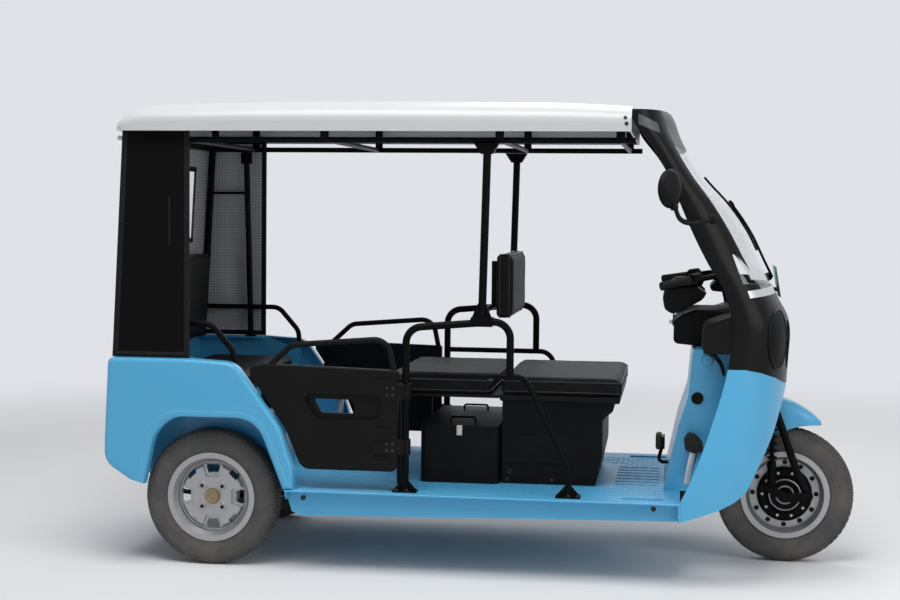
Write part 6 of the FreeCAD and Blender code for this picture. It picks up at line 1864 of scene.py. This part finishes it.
class DashTrim:
    """The switch housings, display and buttons on the bars, and the key, buttons and slats on the dash."""

    HOUSING = ((1.716, 1.052), (1.722, 1.085), (1.762, 1.114), (1.800, 1.118), (1.838, 1.106), (1.884, 1.070),
               (1.868, 1.046), (1.822, 1.020), (1.785, 0.998), (1.752, 0.990), (1.724, 1.008))
    KEY_RING = [(-0.001, 0.0), (-0.001, 0.016), (0.004, 0.015), (0.005, 0.012), (0.005, 0.0)]

    def build(self) -> None:
        """Make each control."""
        self.on_bars()
        self.on_dash()

    def on_bars(self) -> None:
        """Moulded switch housings, the pod's display and the bar's buttons."""
        former = Former().prism([(ahead(x), z) for x, z in self.HOUSING], -0.246, -0.176, 0.011)
        inner = [(ahead(1.82 + (x - 1.80) * 0.8), 1.07 + (z - 1.07) * 0.7) for x, z in self.HOUSING]
        former.prism(inner, -0.178, -0.120, 0.009).both()
        former.piece("switch_housings", BLACK_PLASTIC, "steering", 50.0)
        surfaces = Surfaces("handlebar")
        start = Vector((ahead(1.93), 0.0, 1.16)) + Vector((-0.62, 0.0, 0.78)) * 0.3
        across, up = Vector((0.0, -0.066, 0.0)), Vector((0.78, 0.0, 0.62)) * 0.034
        corners = [tuple(start + across * a + up * b) for a, b in ((-1, -1), (1, -1), (1, 1), (-1, 1))]
        display = Former()
        patch(display, surfaces, corners, (0.62, 0.0, -0.78), 0.0012, 0.003, (10, 6))
        display.piece("pod_display", SCREEN, "steering")
        red, grey = Former(), Former()
        for x, y, z, former, radius in (
                (1.712, -0.250, 1.112, red, 0.009), (1.735, -0.238, 1.128, grey, 0.007),
                (1.735, 0.238, 1.128, grey, 0.007), (1.712, 0.250, 1.112, grey, 0.009)):
            found = surfaces.hit((ahead(x - 0.3), y, z + 0.25), (0.3, 0, -0.25))
            if found:
                former.lathe(*found, [(SUNK, 0.0), (SUNK, radius), (0.005, radius),
                                      (0.0065, radius * 0.8), (0.0065, 0.0)], 20)
        for former, name, finish in ((red, "stop_button", RED_PLASTIC), (grey, "bar_buttons", GREY_PLASTIC)):
            if former.shape.verts:
                former.piece(name, finish, "steering")

    def on_dash(self) -> None:
        """The key in its ring, three buttons and two fields of slats."""
        dash = Surfaces("dash_panel")
        key, plain = Former(), Former()
        found = dash.before(-0.10, 0.95, 1.5, 1.0)
        if found:
            plain.lathe(*found, self.KEY_RING, 28)
            x, y, z = found[0] + found[1] * 0.004
            key.block((x - 0.014, y - 0.002, z - 0.008), (x + 0.002, y + 0.002, z + 0.008), 0.0008)
        for across in (0.02, 0.06, 0.10):
            found = dash.before(across, 0.955, 1.5, 1.0)
            if found:
                x, y, z = found[0]
                plain.block((x - 0.005, y - 0.013, z - 0.018), (x + 0.001, y + 0.013, z + 0.018), 0.003)
        plain.piece("dash_buttons", GLOSS_BLACK)
        key.piece("dash_key", ZINC)
        hits = [dash.before(side * 0.36, 0.955 + 0.011 * row, 1.7, 1.0) for side in SIDES for row in range(6)]
        spots = [Spot(tuple(found[0]), turn=(0.0, 0.0, 0.0)) for found in hits if found]
        if spots:
            slat = Former().block((-0.0020, -0.045, -0.0022), (0.0020, 0.045, 0.0022), 0.001)
            SCATTER.apply("dash_slats", slat.form("slat_form"), spots, GLOSS_BLACK)


class Mirrors:
    """Each oval mirror: its bent arm, its turned shell, its rim and its silvered glass."""

    TURN = math.radians(38.0)
    CENTRE = (1.736, 0.618, 1.466)
    HALF_WIDTH, HALF_HEIGHT, DEPTH, EGG = 0.058, 0.071, 0.030, 0.08
    ROOT = [(-0.006, 0.0), (-0.006, 0.020), (0.004, 0.019), (0.010, 0.011), (0.012, 0.0)]
    SOCKET = [(-0.004, 0.0), (-0.004, 0.012), (0.014, 0.015), (0.022, 0.010), (0.022, 0.0)]

    def oval(self, side: int, share: float, depth: float) -> list[Vector]:
        """An oval at this share of the mirror's size, this far towards its back.

        Args:
            side: The mirror's side.
            share: The oval's share of the mirror's size.
            depth: Its distance towards the mirror's back.

        Returns:
            The points of the oval.
        """
        x, y, z = self.CENTRE
        back = Vector((math.cos(self.TURN), side * math.sin(self.TURN), 0.0))
        wide = Vector((-back.y, back.x, 0.0)) * self.HALF_WIDTH * share
        up = Vector((0.0, 0.0, self.HALF_HEIGHT * share))
        start = Vector((ahead(x), side * y, z)) + back * depth
        return [start + wide * math.cos(t) + up * math.sin(t) * (1.0 - self.EGG * math.cos(t) * side)
                for t in turns(48)]

    def build(self) -> None:
        """Make both mirrors in the place of their CAD solids."""
        shells, glass, rims = Former(), Former(), Former()
        surfaces = Surfaces("windscreen_surround")
        for side in SIDES:
            curve = [math.pi / 2 * k / 9 for k in range(9)]
            shell = [shells.ring(self.oval(side, math.cos(a) ** 0.75, self.DEPTH * math.sin(a)))
                     for a in curve]
            face = [shells.ring(self.oval(side, share, depth)) for share, depth in
                    ((0.985, -0.004), (0.90, -0.004), (0.86, 0.002))]
            pane = [glass.ring(self.oval(side, share, depth)) for share, depth in
                    ((0.88, 0.0015), (0.88, -0.0005), (0.86, -0.0012), (0.5, -0.0018))]
            whole = face[::-1] + shell
            shells.skin(whole)
            shells.cap(whole)
            glass.skin(pane)
            glass.cap(pane)
            rims.sweep(self.oval(side, 0.93, -0.0045), 0.0028, closed=True)
            self.arm(shells, surfaces, side)
        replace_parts(shells.piece("mirror_shells", BLACK_PLASTIC, angle=50.0), "mirrors")
        glass.piece("mirror_glass", MIRROR, angle=60.0)
        rims.piece("mirror_rims", GLOSS_BLACK, angle=60.0)

    def arm(self, former: Former, surfaces: Surfaces, side: int) -> None:
        """The bent arm from the screen's surround to the mirror's foot.

        Args:
            former: The former that gets it.
            surfaces: The screen's surround.
            side: The mirror's side.
        """
        found = surfaces.beside(1.893, 1.357, side)
        start = tuple(found[0]) if found else (ahead(1.893), side * 0.5, 1.357)
        bends = ((1.880, abs(start[1]) + 0.025, 1.354), (1.815, 0.580, 1.338), (1.778, 0.606, 1.350),
                 (1.762, 0.616, 1.385), (1.755, 0.618, 1.412))
        former.tube([start, *((ahead(x), side * y, z) for x, y, z in bends)], 0.0075, 12)
        former.lathe(start, (0, side, 0), self.ROOT, 24)
        former.lathe((ahead(1.756), side * 0.618, 1.392), (-0.1, 0, 1), self.SOCKET, 20)


class RoofTrim:
    """The grey flashes at the cab's corners, the tabs at the rear edge and the roof's bolts."""

    def build(self) -> None:
        """Make the pieces on the roof."""
        surfaces = Surfaces("windscreen_surround", "roof_shell")
        grey, tabs = Former(), Former()
        spots = []
        for side in SIDES:
            corners = [(ahead(x), side * 0.9, z) for x, z in
                       ((1.622, 1.700), (1.700, 1.668), (1.690, 1.705), (1.622, 1.738))]
            patch(grey, surfaces, corners, (0, -side, 0), 0.0016, 0.003, (14, 6))
            low, high = side * 0.46 - 0.035, side * 0.46 + 0.035
            for front, top in ((-0.340, 1.646), (-0.373, 1.658)):
                tabs.block((ahead(-0.378), low, 1.640), (ahead(front), high, top), 0.002)
            spots += surfaces.spots([(1.575, 1.722), (1.580, 1.700), (0.65, 1.645), (1.20, 1.645),
                                     (-0.10, 1.645)], side, size=0.8)
        grey.piece("cab_flashes", GREY_PLASTIC, angle=50.0)
        tabs.piece("roof_tabs", WHITE, slot="black_plastic")
        SCATTER.apply("roof_bolts", bolt_form(), spots, BLACK_BOLT)


class SeatTrim:
    """The storage box's latch, and the seat base's grommets and bolts."""

    KNOB = [(0.0, 0.0), (0.0, 0.008), (0.005, 0.0075), (0.006, 0.0)]
    GROMMET = [(-0.001, 0.0), (-0.001, 0.012), (0.002, 0.0115), (0.003, 0.009), (0.0015, 0.007), (0.0, 0.0)]

    def build(self) -> None:
        """Make the pieces round the seats."""
        latch = Former().block((ahead(0.930), -0.3095, 0.505), (ahead(0.952), -0.3045, 0.545), 0.0015)
        latch.lathe((ahead(0.941), -0.3085, 0.516), (0, -1, 0), self.KNOB, 20).piece("box_latch", ZINC)
        grommets = Former()
        surfaces = Surfaces("driver_seat_base")
        spots = []
        for side in SIDES:
            found = surfaces.beside(1.135, 0.362, side, 0.6)
            if found:
                grommets.lathe(found[0], (0, side, 0), self.GROMMET, 24)
            spots += surfaces.spots([(x, 0.333) for x in (1.125, 1.30, 1.48)], side, 0.6)
        grommets.piece("base_grommets", RUBBER)
        SCATTER.apply("base_bolts", bolt_form(0.005), spots, BLACK_BOLT)


# The studio


@dataclass(frozen=True)
class Studio:
    """Camera at the photo's view, soft lamps, world and pale floor."""

    camera_place: Point = (0.7435, -6.223, 1.387)
    yaw: float = -8.46
    pitch: float = -3.39
    roll: float = 0.53
    lens: float = 61.69
    floor_colour: Colour = (0.86, 0.86, 0.86)
    world_colour: Colour = (0.93, 0.95, 1.0)
    backdrop: float = 0.8
    world_light: float = 0.24
    near: float = 2.6
    far: float = 7.0

    def build(self) -> None:
        """Make the camera, the lamps, the world and the floor."""
        self.camera()
        self.lamp("key", (-0.6, -2.3, 5.9), 3.8, 260.0)
        self.lamp("fill", (4.6, -3.2, 3.0), 3.2, 85.0)
        self.lamp("rim", (1.2, 4.0, 4.6), 4.2, 90.0)
        self.world()
        self.floor()
        bpy.context.scene.view_settings.view_transform = "Standard"

    def camera(self) -> None:
        """Place the camera by the yaw, pitch and roll fitted to the photo."""
        yaw, pitch, roll = (math.radians(angle) for angle in (self.yaw, self.pitch, self.roll))
        look = Vector((math.sin(yaw) * math.cos(pitch), math.cos(yaw) * math.cos(pitch), math.sin(pitch)))
        right = Vector((math.cos(yaw), -math.sin(yaw), 0.0))
        up = right.cross(look)
        side = right * math.cos(roll) + up * math.sin(roll)
        top = up * math.cos(roll) - right * math.sin(roll)
        turn = Matrix((side, top, -look)).transposed()
        data = bpy.data.cameras.new("camera")
        data.sensor_width = 36.0
        data.lens = self.lens
        camera = bpy.data.objects.new("camera", data)
        camera.matrix_world = Matrix.Translation(self.camera_place) @ turn.to_4x4()
        bpy.context.scene.collection.objects.link(camera)
        bpy.context.scene.camera = camera

    def lamp(self, name: str, place: Point, size: float, power: float) -> None:
        """Add a square area lamp that points at the vehicle's middle.

        Args:
            name: The lamp's name.
            place: Where it hangs.
            size: Its width.
            power: Its watts.
        """
        data = bpy.data.lights.new(name, "AREA")
        data.size = size
        data.energy = power
        lamp = bpy.data.objects.new(name, data)
        away = Vector(place) - Vector((0.0, 0.0, 0.8))
        lamp.matrix_world = Matrix.Translation(place) @ away.to_track_quat("Z", "Y").to_matrix().to_4x4()
        bpy.context.scene.collection.objects.link(lamp)

    def world(self) -> None:
        """Light the scene softly from all round, and show a pale background."""
        world = bpy.data.worlds.new("studio")
        bpy.context.scene.world = world
        world.use_nodes = True
        wires = Wires(world.node_tree)
        shade = world.node_tree.nodes["Background"]
        shade.inputs["Color"].default_value = (*self.world_colour, 1.0)
        extra = wires.math("MULTIPLY", wires.shown(), self.backdrop - self.world_light)
        wires.link(wires.math("ADD", self.world_light, extra), shade.inputs["Strength"])

    def floor(self) -> None:
        """Lay a wide pale floor that fades into the background, where it is only seen."""
        shape = bmesh.new()
        bmesh.ops.create_grid(shape, x_segments=1, y_segments=1, size=30.0)
        ground = from_bmesh("studio_floor", shape)
        made = bpy.data.materials.new("studio_floor")
        made.use_nodes = True
        nodes = made.node_tree.nodes
        wires = Wires(made.node_tree)
        shader = nodes["Principled BSDF"]
        shader.inputs["Base Color"].default_value = (*self.floor_colour, 1.0)
        shader.inputs["Roughness"].default_value = 0.9
        reach = wires.node("ShaderNodeVectorMath", operation="LENGTH")
        wires.link(wires.node("ShaderNodeNewGeometry").outputs["Position"], reach.inputs[0])
        far = wires.ramp(reach.outputs["Value"], self.near, self.far)
        pale = wires.node("ShaderNodeEmission", Color=(*self.world_colour, 1.0), Strength=self.backdrop)
        mix = wires.node("ShaderNodeMixShader")
        wires.link(wires.math("MULTIPLY", far, wires.shown()), mix.inputs[0])
        wires.link(shader.outputs["BSDF"], mix.inputs[1])
        wires.link(pale.outputs["Emission"], mix.inputs[2])
        wires.link(mix.outputs["Shader"], nodes["Material Output"].inputs["Surface"])
        ground.data.materials.append(made)


def dress_nodes() -> None:
    """Give every CAD node that stays its finish."""
    for finish, nodes in NODE_FINISHES.items():
        for node in nodes:
            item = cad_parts[node]
            if not item.material_slots:
                item.data.materials.append(finish.material())
            for slot in item.material_slots:
                slot.material = finish.material()


def main() -> None:
    """Build the studio and every piece, in order."""
    logging.basicConfig(level=logging.INFO, format="%(message)s")
    Studio().build()
    dress_nodes()
    for side in SIDES:
        RearWheel(side).build()
    for part in (FrontWheel, Seats, Curtains, Fender, BodyTrim, TailTrim, FloorTrim, NoseTrim, DashTrim,
                 Mirrors, RoofTrim, SeatTrim):
        part().build()


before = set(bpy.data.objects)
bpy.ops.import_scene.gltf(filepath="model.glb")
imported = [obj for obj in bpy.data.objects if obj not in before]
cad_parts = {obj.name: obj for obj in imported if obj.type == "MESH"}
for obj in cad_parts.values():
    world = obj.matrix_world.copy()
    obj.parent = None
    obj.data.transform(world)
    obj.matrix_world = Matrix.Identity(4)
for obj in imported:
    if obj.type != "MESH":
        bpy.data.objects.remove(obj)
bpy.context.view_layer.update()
SCATTER = Scatter()

if __name__ == "__main__":
    main()
